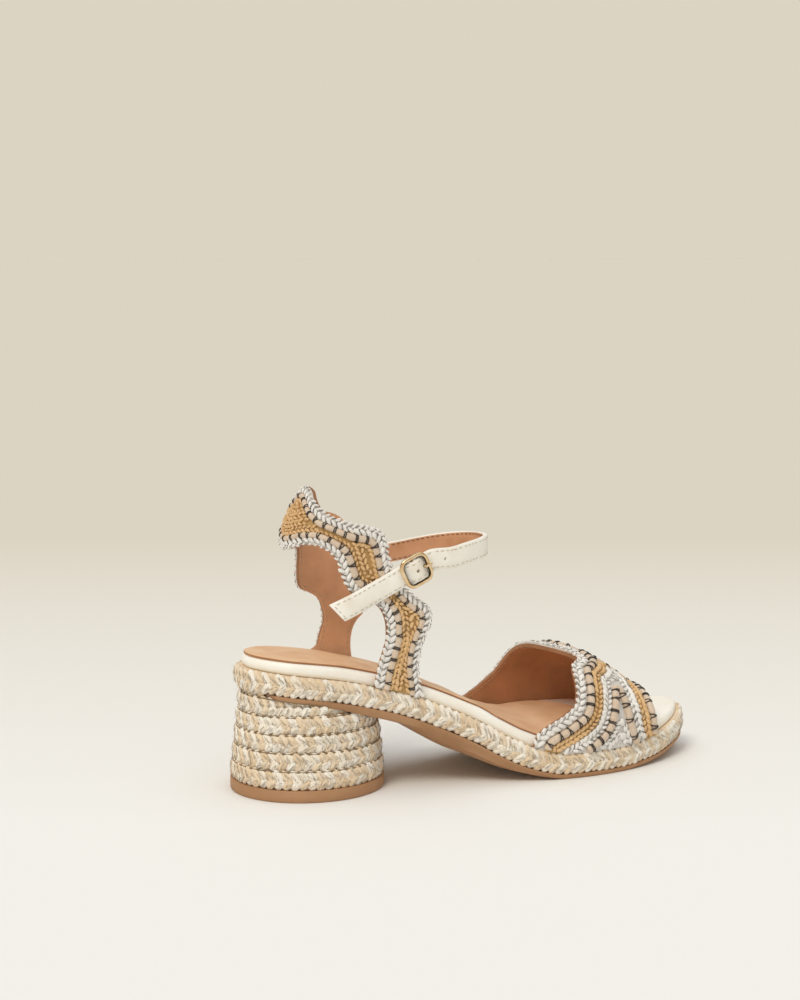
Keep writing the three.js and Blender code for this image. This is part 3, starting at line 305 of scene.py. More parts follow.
# The upper's two surfaces
def vamp_point(x, at):
    """A point of the vamp's outer face: at runs from -1, the outer base, over the ridge to 1."""
    x, at = float(x), float(at)
    outer = outline_y(x, -1) + WALL_INSET
    inner = outline_y(x, 1) - WALL_INSET
    centre, half = (outer + inner) / 2, (inner - outer) / 2
    base = jute_top(x) + 0.3
    foot = upright(x, RIM_HEIGHT)
    ridge = base + VAMP_HEIGHT * ridge_share(x / SOLE_LENGTH)
    arch = 1 - VAMP_FOOT
    if abs(at) >= arch:
        y = outer if at < 0 else inner
        return np.array([x, y, base + foot * (1 - abs(at)) / VAMP_FOOT], float)
    angle = at / arch * math.pi / 2
    sine, cosine = math.sin(angle), math.cos(angle)
    reach = (abs(sine) ** VAMP_ROUNDNESS + cosine**VAMP_ROUNDNESS) ** (-1 / VAMP_ROUNDNESS)
    height = reach * cosine
    y = centre + half * reach * sine + VAMP_SKEW * height**2
    return np.array([x, y, base + foot + (ridge - base - foot) * height], float)


SEAT = float(jute_top(BAND_REAR + BAND_REAR_LENGTH + 16))


def band_point(distance, height):
    """A point of the heel band's outer face: distance from the rear centre, minus on the outer side."""
    distance, height = float(distance), float(height)
    side = -1 if distance < 0 else 1
    share = (height - SEAT) / BAND_HEIGHT
    width = BAND_HALF_WIDTH * band_width(share)
    rear = BAND_REAR + BAND_LEAN * band_lean(share)
    quarter = math.pi / 2 * math.sqrt((BAND_REAR_LENGTH**2 + width**2) / 2)
    far = abs(distance)
    if far < quarter:
        turn = math.pi / 2 * far / quarter
        x = rear + BAND_REAR_LENGTH * (1 - math.cos(turn))
        return np.array([x, side * width * math.sin(turn), height], float)
    x = rear + BAND_REAR_LENGTH + far - quarter
    base = abs(outline_y(x, side)) - WALL_INSET
    blend = smoothstep(height - jute_top(x), RIM_HEIGHT, 4 * RIM_HEIGHT)
    return np.array([x, side * (base + (width - base) * blend), height], float)


def band_edge(station, edge):
    """Low (edge 0) or top (edge 1) of the band: distance and height, station 0 at the outer base."""
    station = float(station)
    outer = station <= BAND_ROWS
    row = station if outer else 2 * BAND_ROWS - station
    distance = BAND_REACH * band_curves[2 * edge](row)
    height = SEAT + BAND_HEIGHT * band_curves[2 * edge + 1](row)
    if not outer:
        share = (height - SEAT) / BAND_HEIGHT
        distance -= BAND_SETBACK * (1 - smoothstep(share, 0.36, 0.74))
        if edge:
            distance -= BAND_TAPER * (1 - smoothstep(share, 0.25, 0.45))
        height -= BAND_DROP * smoothstep(share, 0.2, 0.38) * (1 - smoothstep(share, 0.5, 0.72))
    return np.array([-distance if outer else distance, height], float)


def line_length(line):
    """Lengths along a line from its first point."""
    return np.concatenate([[0], np.cumsum(np.linalg.norm(np.diff(line, axis=0), axis=1))])


class Surface:
    """A face of the upper with flat coordinates, so that rows of stitches can be laid on it."""

    def __init__(self, point, inside):
        self.point = point
        self.inside = np.array(inside, float)

    def frame(self, flat, along):
        """Place, direction along, direction across and outward direction at a flat point."""
        u, v = flat
        step = 0.25
        ahead = self.point(u + along[0] * step, v + along[1] * step)
        behind = self.point(u - along[0] * step, v - along[1] * step)
        left = self.point(u - along[1] * step, v + along[0] * step)
        right = self.point(u + along[1] * step, v - along[0] * step)
        here = self.point(u, v)
        tangent = ahead - behind
        tangent /= np.linalg.norm(tangent) + 1e-9
        out = np.cross(tangent, left - right)
        out /= np.linalg.norm(out) + 1e-9
        if np.dot(out, here - self.inside) < 0:
            out = -out
        return here, tangent, np.cross(out, tangent), out


def section_lengths():
    """Lengths round the vamp from its ridge, for a row of sections from rear to front."""
    xs = np.linspace(120, 226, 107)
    ats = np.linspace(-1, 1, 321)
    lengths = []
    for x in xs:
        points = np.array([vamp_point(x, at) for at in ats])
        length = line_length(points)
        lengths.append(length - length[len(ats) // 2])
    return xs, ats, np.array(lengths)


VAMP_XS, VAMP_ATS, VAMP_LENGTHS = section_lengths()


def vamp_at(x, length):
    """Place round the vamp for a length from its ridge."""
    place_in = np.clip((x - VAMP_XS[0]) / (VAMP_XS[1] - VAMP_XS[0]), 0, len(VAMP_XS) - 1.001)
    i = int(place_in)
    low = np.interp(length, VAMP_LENGTHS[i], VAMP_ATS)
    high = np.interp(length, VAMP_LENGTHS[i + 1], VAMP_ATS)
    return low + (high - low) * (place_in - i)


def vamp_length(x, at):
    place_in = np.clip((x - VAMP_XS[0]) / (VAMP_XS[1] - VAMP_XS[0]), 0, len(VAMP_XS) - 1.001)
    i = int(place_in)
    low = np.interp(at, VAMP_ATS, VAMP_LENGTHS[i])
    high = np.interp(at, VAMP_ATS, VAMP_LENGTHS[i + 1])
    return low + (high - low) * (place_in - i)


VAMP_FACE = Surface(lambda x, length: vamp_point(x, vamp_at(x, length)), (175, 0, 10))
BAND_FACE = Surface(band_point, (58, 0, 95))


def distances(points, line):
    """Distance of each point to the nearest point of a line."""
    result = np.empty(len(points))
    for start in range(0, len(points), 2000):
        part = points[start : start + 2000]
        gap = part[:, None, :] - line[None, :, :]
        result[start : start + 2000] = np.sqrt((gap**2).sum(2).min(1))
    return result


def contour_lines(us, vs, field, level, keep):
    """Lines where a field on a grid passes a level, in cells whose corners are all kept."""
    above = field > level
    links = {}

    def corner_ok(i, j):
        return keep[i, j] and keep[i + 1, j] and keep[i, j + 1] and keep[i + 1, j + 1]

    count = above[:-1, :-1].astype(int) + above[1:, :-1] + above[:-1, 1:] + above[1:, 1:]
    for i, j in zip(*np.nonzero((count > 0) & (count < 4))):
        if not corner_ok(i, j):
            continue
        crossed = []
        if above[i, j] != above[i + 1, j]:
            crossed.append((i, j, 0))
        if above[i + 1, j] != above[i + 1, j + 1]:
            crossed.append((i + 1, j, 1))
        if above[i, j + 1] != above[i + 1, j + 1]:
            crossed.append((i, j + 1, 0))
        if above[i, j] != above[i, j + 1]:
            crossed.append((i, j, 1))
        for a, b in zip(crossed[::2], crossed[1::2]):
            links.setdefault(a, []).append(b)
            links.setdefault(b, []).append(a)

    def crossing(key):
        i, j, axis = key
        k, m = (i + 1, j) if axis == 0 else (i, j + 1)
        t = (level - field[i, j]) / (field[k, m] - field[i, j])
        return us[i] + (us[k] - us[i]) * t, vs[j] + (vs[m] - vs[j]) * t

    lines = []
    seen = set()
    for start in sorted(links, key=lambda key: (len(links[key]), key)):
        if start in seen:
            continue
        chain = [start]
        seen.add(start)
        while True:
            following = [key for key in links[chain[-1]] if key not in seen]
            if not following:
                break
            chain.append(following[0])
            seen.add(following[0])
        if len(chain) > 5:
            lines.append(even_line(np.array([crossing(key) for key in chain]), 0.6))
    return [line for line in lines if len(line) > 5]


def even_line(line, spacing, rounds=4):
    """A line softened and laid out again at an even spacing."""
    for _ in range(rounds):
        softened = line.copy()
        softened[1:-1] = (line[:-2] + 2 * line[1:-1] + line[2:]) / 4
        line = softened
    length = line_length(line)
    count = max(2, int(round(length[-1] / spacing)) + 1)
    at = np.linspace(0, length[-1], count)
    return np.stack([np.interp(at, length, line[:, k]) for k in range(line.shape[1])], 1)


# Meshes
def finished_object(name, mesh):
    piece = bpy.data.objects.new(name, mesh)
    bpy.context.scene.collection.objects.link(piece)
    return piece


def turn_outwards(mesh):
    """Turns the faces of a closed mesh outwards."""
    editing = bmesh.new()
    editing.from_mesh(mesh)
    bmesh.ops.recalc_face_normals(editing, faces=editing.faces)
    editing.to_mesh(mesh)
    editing.free()


def mesh_piece(name, points, faces, materials, slots=None, smooth=math.radians(50)):
    """A mesh piece from points of the shoe in millimetres."""
    mesh = bpy.data.meshes.new(name)
    mesh.from_pydata([place(p) for p in points], [], faces)
    for material in materials:
        mesh.materials.append(material)
    if slots is not None:
        mesh.polygons.foreach_set("material_index", slots)
    turn_outwards(mesh)
    mesh.polygons.foreach_set("use_smooth", [True] * len(mesh.polygons))
    mesh.set_sharp_from_angle(angle=smooth)
    mesh.update()
    return finished_object(name, mesh)


def ring_faces(first, second, count):
    return [
        (first + i, first + (i + 1) % count, second + (i + 1) % count, second + i)
        for i in range(count)
    ]


def stacked_piece(name, loops, material, caps=True):
    """A solid of loops from bottom to top, with caps whose rungs run from side to side."""
    count = len(loops[0])
    faces = []
    for k in range(len(loops) - 1):
        faces += ring_faces(k * count, (k + 1) * count, count)
    for first in (0, (len(loops) - 1) * count) if caps else ():
        for i in range(count // 2):
            rung = [first + i, first + i + 1, first + count - i - 1, first + (count - i) % count]
            faces.append(tuple(dict.fromkeys(rung)))
    return mesh_piece(name, np.concatenate(loops), faces, [material])


def swept_piece(name, sections, material, closed=False, slots=None, materials=None):
    """A solid swept through closed sections."""
    count = len(sections[0])
    faces = []
    for k in range(len(sections) - 1):
        faces += ring_faces(k * count, (k + 1) * count, count)
    if closed:
        faces += ring_faces((len(sections) - 1) * count, 0, count)
    else:
        faces.append(tuple(range(count)))
        faces.append(tuple((len(sections) - 1) * count + i for i in reversed(range(count))))
    indices = None
    if slots:
        sides = [slots[i % count] for i in range(len(faces) - (0 if closed else 2))]
        indices = sides + ([] if closed else [0, 0])
    return mesh_piece(name, np.concatenate(sections), faces, materials or [material], indices)


def wall_piece(name, outer, inner, materials, tones=None):
    """A wall between an outer and an inner sheet: outer face, inner face and edge materials."""
    rows, columns = len(outer), len(outer[0])
    size = rows * columns
    faces, slots = [], []
    for r in range(rows - 1):
        for c in range(columns - 1):
            a, b = r * columns + c, r * columns + c + 1
            d, e = b + columns, a + columns
            faces.append((a, b, d, e))
            slots.append(0)
            faces.append((size + a, size + e, size + d, size + b))
            slots.append(1)
    rim = list(range(columns - 1))
    rim += [r * columns + columns - 1 for r in range(rows - 1)]
    rim += [(rows - 1) * columns + c for c in range(columns - 1, 0, -1)]
    rim += [r * columns for r in range(rows - 1, 0, -1)]
    for k, a in enumerate(rim):
        b = rim[(k + 1) % len(rim)]
        faces.append((a, size + a, size + b, b))
        slots.append(2)
    points = [p for row in outer for p in row] + [p for row in inner for p in row]
    piece = mesh_piece(name, points, faces, materials, slots, smooth=math.radians(70))
    if tones is not None:
        flat = [t for row in tones for t in row] * 2
        attribute = piece.data.attributes.new("tone", "FLOAT", "POINT")
        attribute.data.foreach_set("value", flat)
    return piece


def joined(name, pieces):
    """Several mesh pieces as one."""
    bpy.ops.object.select_all(action="DESELECT")
    for piece in pieces:
        piece.select_set(True)
    bpy.context.view_layer.objects.active = pieces[0]
    bpy.ops.object.join()
    pieces[0].name = name
    pieces[0].data.name = name
    return pieces[0]


def dress(piece, slot, *nodes):
    """The piece rides on the shoe and stands for CAD nodes; slot is not used."""
    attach(piece, "root")
    if nodes:
        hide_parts(*nodes)
    return piece


# Stitches, strands and threads: one shape repeated at many places
class Places:
    """Places, turns, sizes and tones of one repeated shape."""

    def __init__(self):
        self.points, self.turns, self.sizes, self.tones = [], [], [], []

    def add(self, point, along, out, size=(1, 1, 1), tone=0.5):
        along = Vector(along).normalized()
        out = Vector(out).normalized()
        across = out.cross(along).normalized()
        out = along.cross(across)
        turn = Matrix((along, across, out)).transposed().to_euler()
        self.points.append(place(point))
        self.turns.append(tuple(turn))
        self.sizes.append(size)
        self.tones.append(tone)


def node_in(tree, kind, inputs=None, **settings):
    """Adds a node with its settings, and its inputs as values or links."""
    node = tree.nodes.new(kind)
    for key, value in settings.items():
        setattr(node, key, value)
    for key, value in (inputs or {}).items():
        if isinstance(value, bpy.types.NodeSocket):
            tree.links.new(value, node.inputs[key])
        else:
            node.inputs[key].default_value = value
    return node


def repeat_tree():
    """Geometry nodes that set one shape on every point, with its turn, size and tone."""
    tree = bpy.data.node_groups.new("Repeat on points", "GeometryNodeTree")
    tree.is_modifier = True
    sockets = (
        ("Points", "INPUT", "NodeSocketGeometry"), ("Shape", "INPUT", "NodeSocketObject"),
        ("Finish", "INPUT", "NodeSocketMaterial"), ("Least size", "INPUT", "NodeSocketFloat"),
        ("Greatest size", "INPUT", "NodeSocketFloat"), ("Seed", "INPUT", "NodeSocketInt"),
        ("Shapes", "OUTPUT", "NodeSocketGeometry"),
    )
    for name, way, kind in sockets:
        tree.interface.new_socket(name, in_out=way, socket_type=kind)
    inputs = node_in(tree, "NodeGroupInput").outputs
    points = node_in(tree, "GeometryNodeMeshToPoints", {"Mesh": inputs["Points"]})
    shape = node_in(tree, "GeometryNodeObjectInfo", {"Object": inputs["Shape"]})
    turn = node_in(tree, "GeometryNodeInputNamedAttribute", {"Name": "turn"}, data_type="FLOAT_VECTOR")
    size = node_in(tree, "GeometryNodeInputNamedAttribute", {"Name": "size"}, data_type="FLOAT_VECTOR")
    vary = node_in(
        tree,
        "FunctionNodeRandomValue",
        {2: inputs["Least size"], 3: inputs["Greatest size"], "Seed": inputs["Seed"]},
        data_type="FLOAT",
    )
    scale = node_in(
        tree,
        "ShaderNodeVectorMath",
        {0: size.outputs["Attribute"], "Scale": vary.outputs[1]},
        operation="SCALE",
    )
    repeat = node_in(
        tree,
        "GeometryNodeInstanceOnPoints",
        {
            "Points": points.outputs["Points"],
            "Instance": shape.outputs["Geometry"],
            "Rotation": turn.outputs["Attribute"],
            "Scale": scale.outputs["Vector"],
        },
    )
    real = node_in(tree, "GeometryNodeRealizeInstances", {"Geometry": repeat.outputs["Instances"]})
    finish = node_in(
        tree,
        "GeometryNodeSetMaterial",
        {"Geometry": real.outputs["Geometry"], "Material": inputs["Finish"]},
    )
    node_in(tree, "NodeGroupOutput", {"Shapes": finish.outputs["Geometry"]})
    return tree


REPEAT = repeat_tree()


def repeated_piece(name, places, shape, material, vary=(0.93, 1.07), seed=1):
    """The shape at each of the places, as one plain mesh."""
    mesh = bpy.data.meshes.new(name)
    mesh.from_pydata(places.points, [], [])
    for label, kind, values in (
        ("turn", "FLOAT_VECTOR", [v for turn in places.turns for v in turn]),
        ("size", "FLOAT_VECTOR", [v for size in places.sizes for v in size]),
        ("tone", "FLOAT", places.tones),
    ):
        attribute = mesh.attributes.new(label, kind, "POINT")
        attribute.data.foreach_set("vector" if kind == "FLOAT_VECTOR" else "value", values)
    piece = finished_object(name, mesh)
    modifier = piece.modifiers.new("Repeat", "NODES")
    modifier.node_group = REPEAT
    values = {
        "Shape": shape, "Finish": material, "Least size": vary[0], "Greatest size": vary[1],
        "Seed": seed,
    }
    for item in REPEAT.interface.items_tree:
        if item.in_out == "INPUT" and item.name in values:
            modifier[item.identifier] = values[item.name]
    bpy.context.view_layer.update()
    depsgraph = bpy.context.evaluated_depsgraph_get()
    result = bpy.data.meshes.new_from_object(
        piece.evaluated_get(depsgraph), preserve_all_data_layers=True, depsgraph=depsgraph
    )
    piece.modifiers.clear()
    piece.data = result
    result.name = name
    result.polygons.foreach_set("use_smooth", [True] * len(result.polygons))
    return piece


def shape_object(name, points, faces, uvs):
    """A small shape in millimetres round its own zero, for repeating."""
    mesh = bpy.data.meshes.new(name)
    mesh.from_pydata([Vector(p) * MM for p in points], [], faces)
    layer = mesh.uv_layers.new(name="UVMap")
    for loop in mesh.loops:
        layer.data[loop.index].uv = uvs[loop.vertex_index]
    mesh.polygons.foreach_set("use_smooth", [True] * len(mesh.polygons))
    return finished_object(name, mesh)


def strand_shape(name, length, width, height, sides=8, rings=7, bow=0.0, blunt=0.6, lobes=0.0):
    """A tapered strand of yarn or fibre that lies along X and bulges out along Z."""
    points, uvs = [], []
    for k in range(rings):
        t = -1 + 2 * (k + 0.5) / rings
        for s in range(sides):
            turn = 2 * math.pi * s / sides
            girth = (1 - abs(t) ** 2.4) ** blunt * (1 + lobes * (-1) ** (s + k))
            y = width / 2 * girth * math.cos(turn) + bow * (1 - t * t)
            z = height / 2 * girth * math.sin(turn)
            points.append((length / 2 * t, y, z))
            uvs.append(((t + 1) / 2, s / sides))
    faces = []
    for k in range(rings - 1):
        faces += ring_faces(k * sides, (k + 1) * sides, sides)
    for tip, first, order in ((-1, 0, -1), (1, (rings - 1) * sides, 1)):
        points.append((length / 2 * tip, 0, 0))
        uvs.append(((tip + 1) / 2, 0.5))
        apex = len(points) - 1
        for s in range(sides):
            face = (first + s, first + (s + 1) % sides, apex)
            faces.append(face if order > 0 else face[::-1])
    faces = [face[::-1] for face in faces]
    shape = shape_object(name, points, faces, uvs)
    turn_outwards(shape.data)
    return shape


def thread_shape(name, path, radius, sides=5):
    """A thin thread along a short path in millimetres."""
    path = [Vector(p) for p in path]
    points, uvs, faces = [], [], []
    for k, here in enumerate(path):
        along = (path[min(k + 1, len(path) - 1)] - path[max(k - 1, 0)]).normalized()
        side = along.orthogonal() if abs(along.x) > 0.9 else along.cross(Vector((1, 0, 0)))
        side.normalize()
        other = along.cross(side)
        for s in range(sides):
            turn = 2 * math.pi * s / sides
            points.append(here + side * radius * math.cos(turn) + other * radius * math.sin(turn))
            uvs.append((k / (len(path) - 1), s / sides))
    for k in range(len(path) - 1):
        faces += ring_faces(k * sides, (k + 1) * sides, sides)
    faces.append(tuple(range(sides)))
    faces.append(tuple((len(path) - 1) * sides + s for s in reversed(range(sides))))
    shape = shape_object(name, points, faces, uvs)
    turn_outwards(shape.data)
    return shape


def drop(*shapes):
    """Takes away the shapes that were only there to be repeated."""
    for shape in shapes:
        bpy.data.objects.remove(shape)


# Materials
def linear(colour):
    """An sRGB hex colour as linear red, green, blue and alpha."""
    channels = [int(colour[i : i + 2], 16) / 255 for i in (1, 3, 5)]
    return tuple(c / 12.92 if c < 0.04045 else ((c + 0.055) / 1.055) ** 2.4 for c in channels) + (1,)


def new_material(name):
    material = bpy.data.materials.new(name)
    material.use_nodes = True
    tree = material.node_tree
    return material, tree, tree.nodes["Principled BSDF"]


def mixed(tree, share, first, second):
    """Colour between two, which may be sockets or colours."""
    inputs = {"Factor": share, 6: first, 7: second}
    return node_in(tree, "ShaderNodeMix", inputs, data_type="RGBA").outputs[2]


def ranged(tree, value, low, high, to_low=0.0, to_high=1.0):
    inputs = {"Value": value, "From Min": low, "From Max": high, "To Min": to_low, "To Max": to_high}
    return node_in(tree, "ShaderNodeMapRange", inputs).outputs["Result"]


def noise_of(tree, coordinates, size_mm, detail=3.0, roughness=0.5):
    """Noise whose lumps are about size_mm across, on coordinates in metres."""
    inputs = {"Vector": coordinates, "Scale": 1000 / size_mm, "Detail": detail, "Roughness": roughness}
    return node_in(tree, "ShaderNodeTexNoise", inputs).outputs["Fac"]


def object_space(tree):
    return node_in(tree, "ShaderNodeTexCoord").outputs["Object"]


def tone_of(tree):
    return node_in(tree, "ShaderNodeAttribute", attribute_name="tone").outputs["Fac"]


def bumped(tree, shader, height, distance_mm, strength=1.0):
    inputs = {"Height": height, "Distance": distance_mm * MM, "Strength": strength}
    tree.links.new(node_in(tree, "ShaderNodeBump", inputs).outputs["Normal"], shader.inputs["Normal"])


def fibre_stripes(tree, across, along):
    """Noise drawn out along a strand, on its own map."""
    uv = node_in(tree, "ShaderNodeUVMap", uv_map="UVMap").outputs["UV"]
    spread = node_in(tree, "ShaderNodeMapping", {"Vector": uv, "Scale": (along, across, 1)})
    spot = object_space(tree)
    offset = node_in(tree, "ShaderNodeVectorMath", {0: spot, "Scale": 40.0}, operation="SCALE")
    moved = node_in(
        tree,
        "ShaderNodeVectorMath",
        {0: spread.outputs["Vector"], 1: offset.outputs["Vector"]},
        operation="ADD",
    )
    inputs = {"Vector": moved.outputs["Vector"], "Scale": 1.0, "Detail": 3.0}
    return node_in(tree, "ShaderNodeTexNoise", inputs).outputs["Fac"]


def jute_fibre(colours):
    """Retted jute, combed and plaited: dry, matt, with fine fibres along each strand."""
    material, tree, shader = new_material("Jute fibre")
    stripes = fibre_stripes(tree, 16.0, 1.4)
    blotch = noise_of(tree, object_space(tree), 5.0)
    base = mixed(tree, tone_of(tree), tuple(colours.jute_natural), tuple(colours.jute_ivory))
    dry = mixed(tree, ranged(tree, stripes, 0.5, 0.72, 0.0, 0.5), base, tuple(colours.jute_shade))
    light = mixed(tree, ranged(tree, stripes, 0.5, 0.3, 0.0, 0.5), dry, linear("#FBF6EA"))
    colour = mixed(tree, ranged(tree, blotch, 0.42, 0.7, 0.0, 0.3), light, tuple(colours.jute_natural))
    tree.links.new(colour, shader.inputs["Base Color"])
    shader.inputs["Roughness"].default_value = 0.92
    shader.inputs["Specular IOR Level"].default_value = 0.2
    shader.inputs["Sheen Weight"].default_value = 0.25
    bumped(tree, shader, stripes, 0.5, 0.9)
    return material


def cotton_yarn(name, light, dark):
    """Mercerised cotton yarn, crocheted: matt with a soft twist of plies."""
    material, tree, shader = new_material(name)
    plies = fibre_stripes(tree, 5.0, 3.0)
    tone = mixed(tree, ranged(tree, plies, 0.3, 0.65), dark, light)
    varied = mixed(tree, ranged(tree, tone_of(tree), 0.0, 1.0, 0.0, 0.3), tone, dark)
    tree.links.new(varied, shader.inputs["Base Color"])
    shader.inputs["Roughness"].default_value = 0.85
    shader.inputs["Specular IOR Level"].default_value = 0.25
    shader.inputs["Sheen Weight"].default_value = 0.2
    bumped(tree, shader, plies, 0.3, 0.8)
    return material


def satin_piping(colours):
    """Satin woven cord over a filler: soft gloss with fine ribs across."""
    material, tree, shader = new_material("Satin piping")
    cloth = noise_of(tree, object_space(tree), 0.7)
    wide = noise_of(tree, object_space(tree), 7.0)
    tone = mixed(tree, ranged(tree, cloth, 0.35, 0.7), tuple(colours.piping), linear("#C9B29B"))
    tone = mixed(tree, ranged(tree, wide, 0.4, 0.7, 0, 0.4), tone, linear("#E6D6C6"))
    tree.links.new(tone, shader.inputs["Base Color"])
    shader.inputs["Roughness"].default_value = 0.55
    bumped(tree, shader, cloth, 0.15, 0.6)
    return material


def waxed_thread(name, colour, roughness=0.6):
    """Twisted sewing thread."""
    material, tree, shader = new_material(name)
    twist = fibre_stripes(tree, 4.0, 6.0)
    tone = mixed(tree, ranged(tree, twist, 0.35, 0.7, 0, 0.35), colour, linear("#6A625C"))
    tree.links.new(tone, shader.inputs["Base Color"])
    shader.inputs["Roughness"].default_value = roughness
    bumped(tree, shader, twist, 0.1, 0.5)
    return material


def crochet_ground(colours):
    """The net behind the stitches: yarn painted darker than the stitches, as painted shade seen only between
    them.
    """
    material, tree, shader = new_material("Crochet ground")
    knit = noise_of(tree, object_space(tree), 0.9)
    # Both nets are darker than their stitches' own yarn: painted shade between the stitches.
    camel = mixed(tree, knit, linear("#A4814F"), linear("#D2AE78"))
    white = mixed(tree, knit, linear("#C6C2BE"), linear("#F0EDEA"))
    tree.links.new(mixed(tree, tone_of(tree), camel, white), shader.inputs["Base Color"])
    shader.inputs["Roughness"].default_value = 0.95
    bumped(tree, shader, knit, 0.4, 0.8)
    return material


def grained_leather(name, colour, shade, grain_mm, roughness, depth_mm, specular=0.4):
    """Finished leather: pebbled grain, soft colour changes and a low gloss."""
    material, tree, shader = new_material(name)
    spot = object_space(tree)
    cells = node_in(
        tree,
        "ShaderNodeTexVoronoi",
        {"Vector": spot, "Scale": 1000 / grain_mm},
        feature="SMOOTH_F1",
    )
    clouds = noise_of(tree, spot, 14.0, 4.0)
    fine = noise_of(tree, spot, 0.5)
    tone = mixed(tree, ranged(tree, clouds, 0.35, 0.7), colour, shade)
    tree.links.new(tone, shader.inputs["Base Color"])
    rough = ranged(tree, clouds, 0.3, 0.7, roughness - 0.05, roughness + 0.08)
    tree.links.new(rough, shader.inputs["Roughness"])
    shader.inputs["Specular IOR Level"].default_value = specular
    height = node_in(
        tree,
        "ShaderNodeMath",
        {0: cells.outputs["Distance"], 1: ranged(tree, fine, 0, 1, 0, 0.25)},
        operation="ADD",
    )
    bumped(tree, shader, height.outputs["Value"], depth_mm, 0.7)
    return material


def sole_rubber(name, colour, shade):
    """Moulded crepe rubber with a matt skin, a little paler where it is scuffed."""
    material, tree, shader = new_material(name)
    spot = object_space(tree)
    clouds = noise_of(tree, spot, 18.0)
    grit = noise_of(tree, spot, 0.6)
    tone = mixed(tree, ranged(tree, clouds, 0.35, 0.7), colour, shade)
    tree.links.new(tone, shader.inputs["Base Color"])
    shader.inputs["Roughness"].default_value = 0.62
    shader.inputs["Specular IOR Level"].default_value = 0.35
    bumped(tree, shader, grit, 0.08, 0.5)
    return material


def polished_gold(colours, name="Gold plate", wear_and_shade="#F1DDB8", share=1.0):
    """Zinc cast and gold plated: bright, with a faint brushing along the bars. A low share and a dark second
    colour give a dark copy of the gold, used as painted shade on the frame's inner walls.
    """
    material, tree, shader = new_material(name)
    spot = object_space(tree)
    wear = noise_of(tree, spot, 2.5)
    plate = tuple(share * c for c in colours.gold[:3]) + (1,)
    tone = mixed(tree, ranged(tree, wear, 0.3, 0.7), plate, linear(wear_and_shade))
    tree.links.new(tone, shader.inputs["Base Color"])
    tree.links.new(ranged(tree, wear, 0.3, 0.7, 0.16, 0.28), shader.inputs["Roughness"])
    shader.inputs["Metallic"].default_value = 1.0
    bumped(tree, shader, wear, 0.02, 0.3)
    return material


def colour_property(name, description, default):
    return bpy.props.FloatVectorProperty(
        name=name, description=description, subtype="COLOR", size=4, min=0, max=1,
        default=linear(default),
    )


def length_property(name, description, default):
    return bpy.props.FloatProperty(name=name, description=description, default=default, min=0.05)


class SANDAL_PG_colours(bpy.types.PropertyGroup):
    """Colours of the sandal."""

    jute_natural: colour_property("Natural jute", "Strands of natural jute", "#EBD3B3")
    jute_ivory: colour_property("Ivory jute", "Strands of bleached jute", "#FFFCF5")
    jute_shade: colour_property("Jute shade", "Between the fibres", "#D9BC93")
    white: colour_property("White yarn", "Yarn of the edge braid", "#FAF8F6")
    camel: colour_property("Camel yarn", "Yarn of the middle rows", "#ECCB9C")
    piping: colour_property("Piping", "Satin cord", "#DDCAB6")
    thread: colour_property("Dark thread", "Thread round the piping", "#2E2626")
    cream: colour_property("Cream leather", "Footbed and strap", "#FEFCF7")
    tan: colour_property("Tan leather", "Lining of the upper and strap", "#DAA680")
    sock: colour_property("Sock leather", "Sock over the footbed", "#F0CAA4")
    rubber: colour_property("Sole rubber", "Outsole and top piece", "#B48A66")
    gold: colour_property("Gold", "Buckle", "#E0BC8E")
    floor: colour_property("Floor", "Studio floor", "#F4F4F4")
    sweep: colour_property("Sweep", "Studio floor far off", "#DCD7CC")
    wall: colour_property("Wall", "Studio wall", "#DBD4C3")


class SANDAL_PG_sizes(bpy.types.PropertyGroup):
    """Sizes of strands and stitches in millimetres."""

    jute_strand: length_property("Jute strand length", "Length of one strand in the plait", 7.2)
    heel_pitch: length_property("Heel plait pitch", "Distance between strands on the heel", 4.0)
    edge_pitch: length_property("Edge plait pitch", "Distance between strands on the edge", 3.7)
    stitch: length_property("Stitch length", "Length of one crochet stitch", 3.7)
    stitch_pitch: length_property("Stitch pitch", "Distance between crochet stitches", 2.5)
    piping: length_property("Piping", "Diameter of the satin piping", 3.4)
    wrap_pitch: length_property("Wrap pitch", "Distance between thread wraps", 5.6)
    seam_pitch: length_property("Seam pitch", "Distance between leather stitches", 2.7)


def settings():
    return bpy.context.scene.sandal_colours, bpy.context.scene.sandal_sizes


def heel_half(height):
    share = np.clip((height - TOP_PIECE_HEIGHT) / (HEEL_LIFT - TOP_PIECE_HEIGHT), 0, 1.2)
    return [low + (high - low) * share for low, high in zip(HEEL_BOTTOM, HEEL_TOP)]


def heel_loop(height, offset, count=128):
    length, width = heel_half(height)
    turns = [math.pi + 2 * math.pi * i / count for i in range(count)]
    return np.array([
        (HEEL_CENTRE + (length + offset) * math.cos(t), (width + offset) * math.sin(t), height)
        for t in turns
    ])


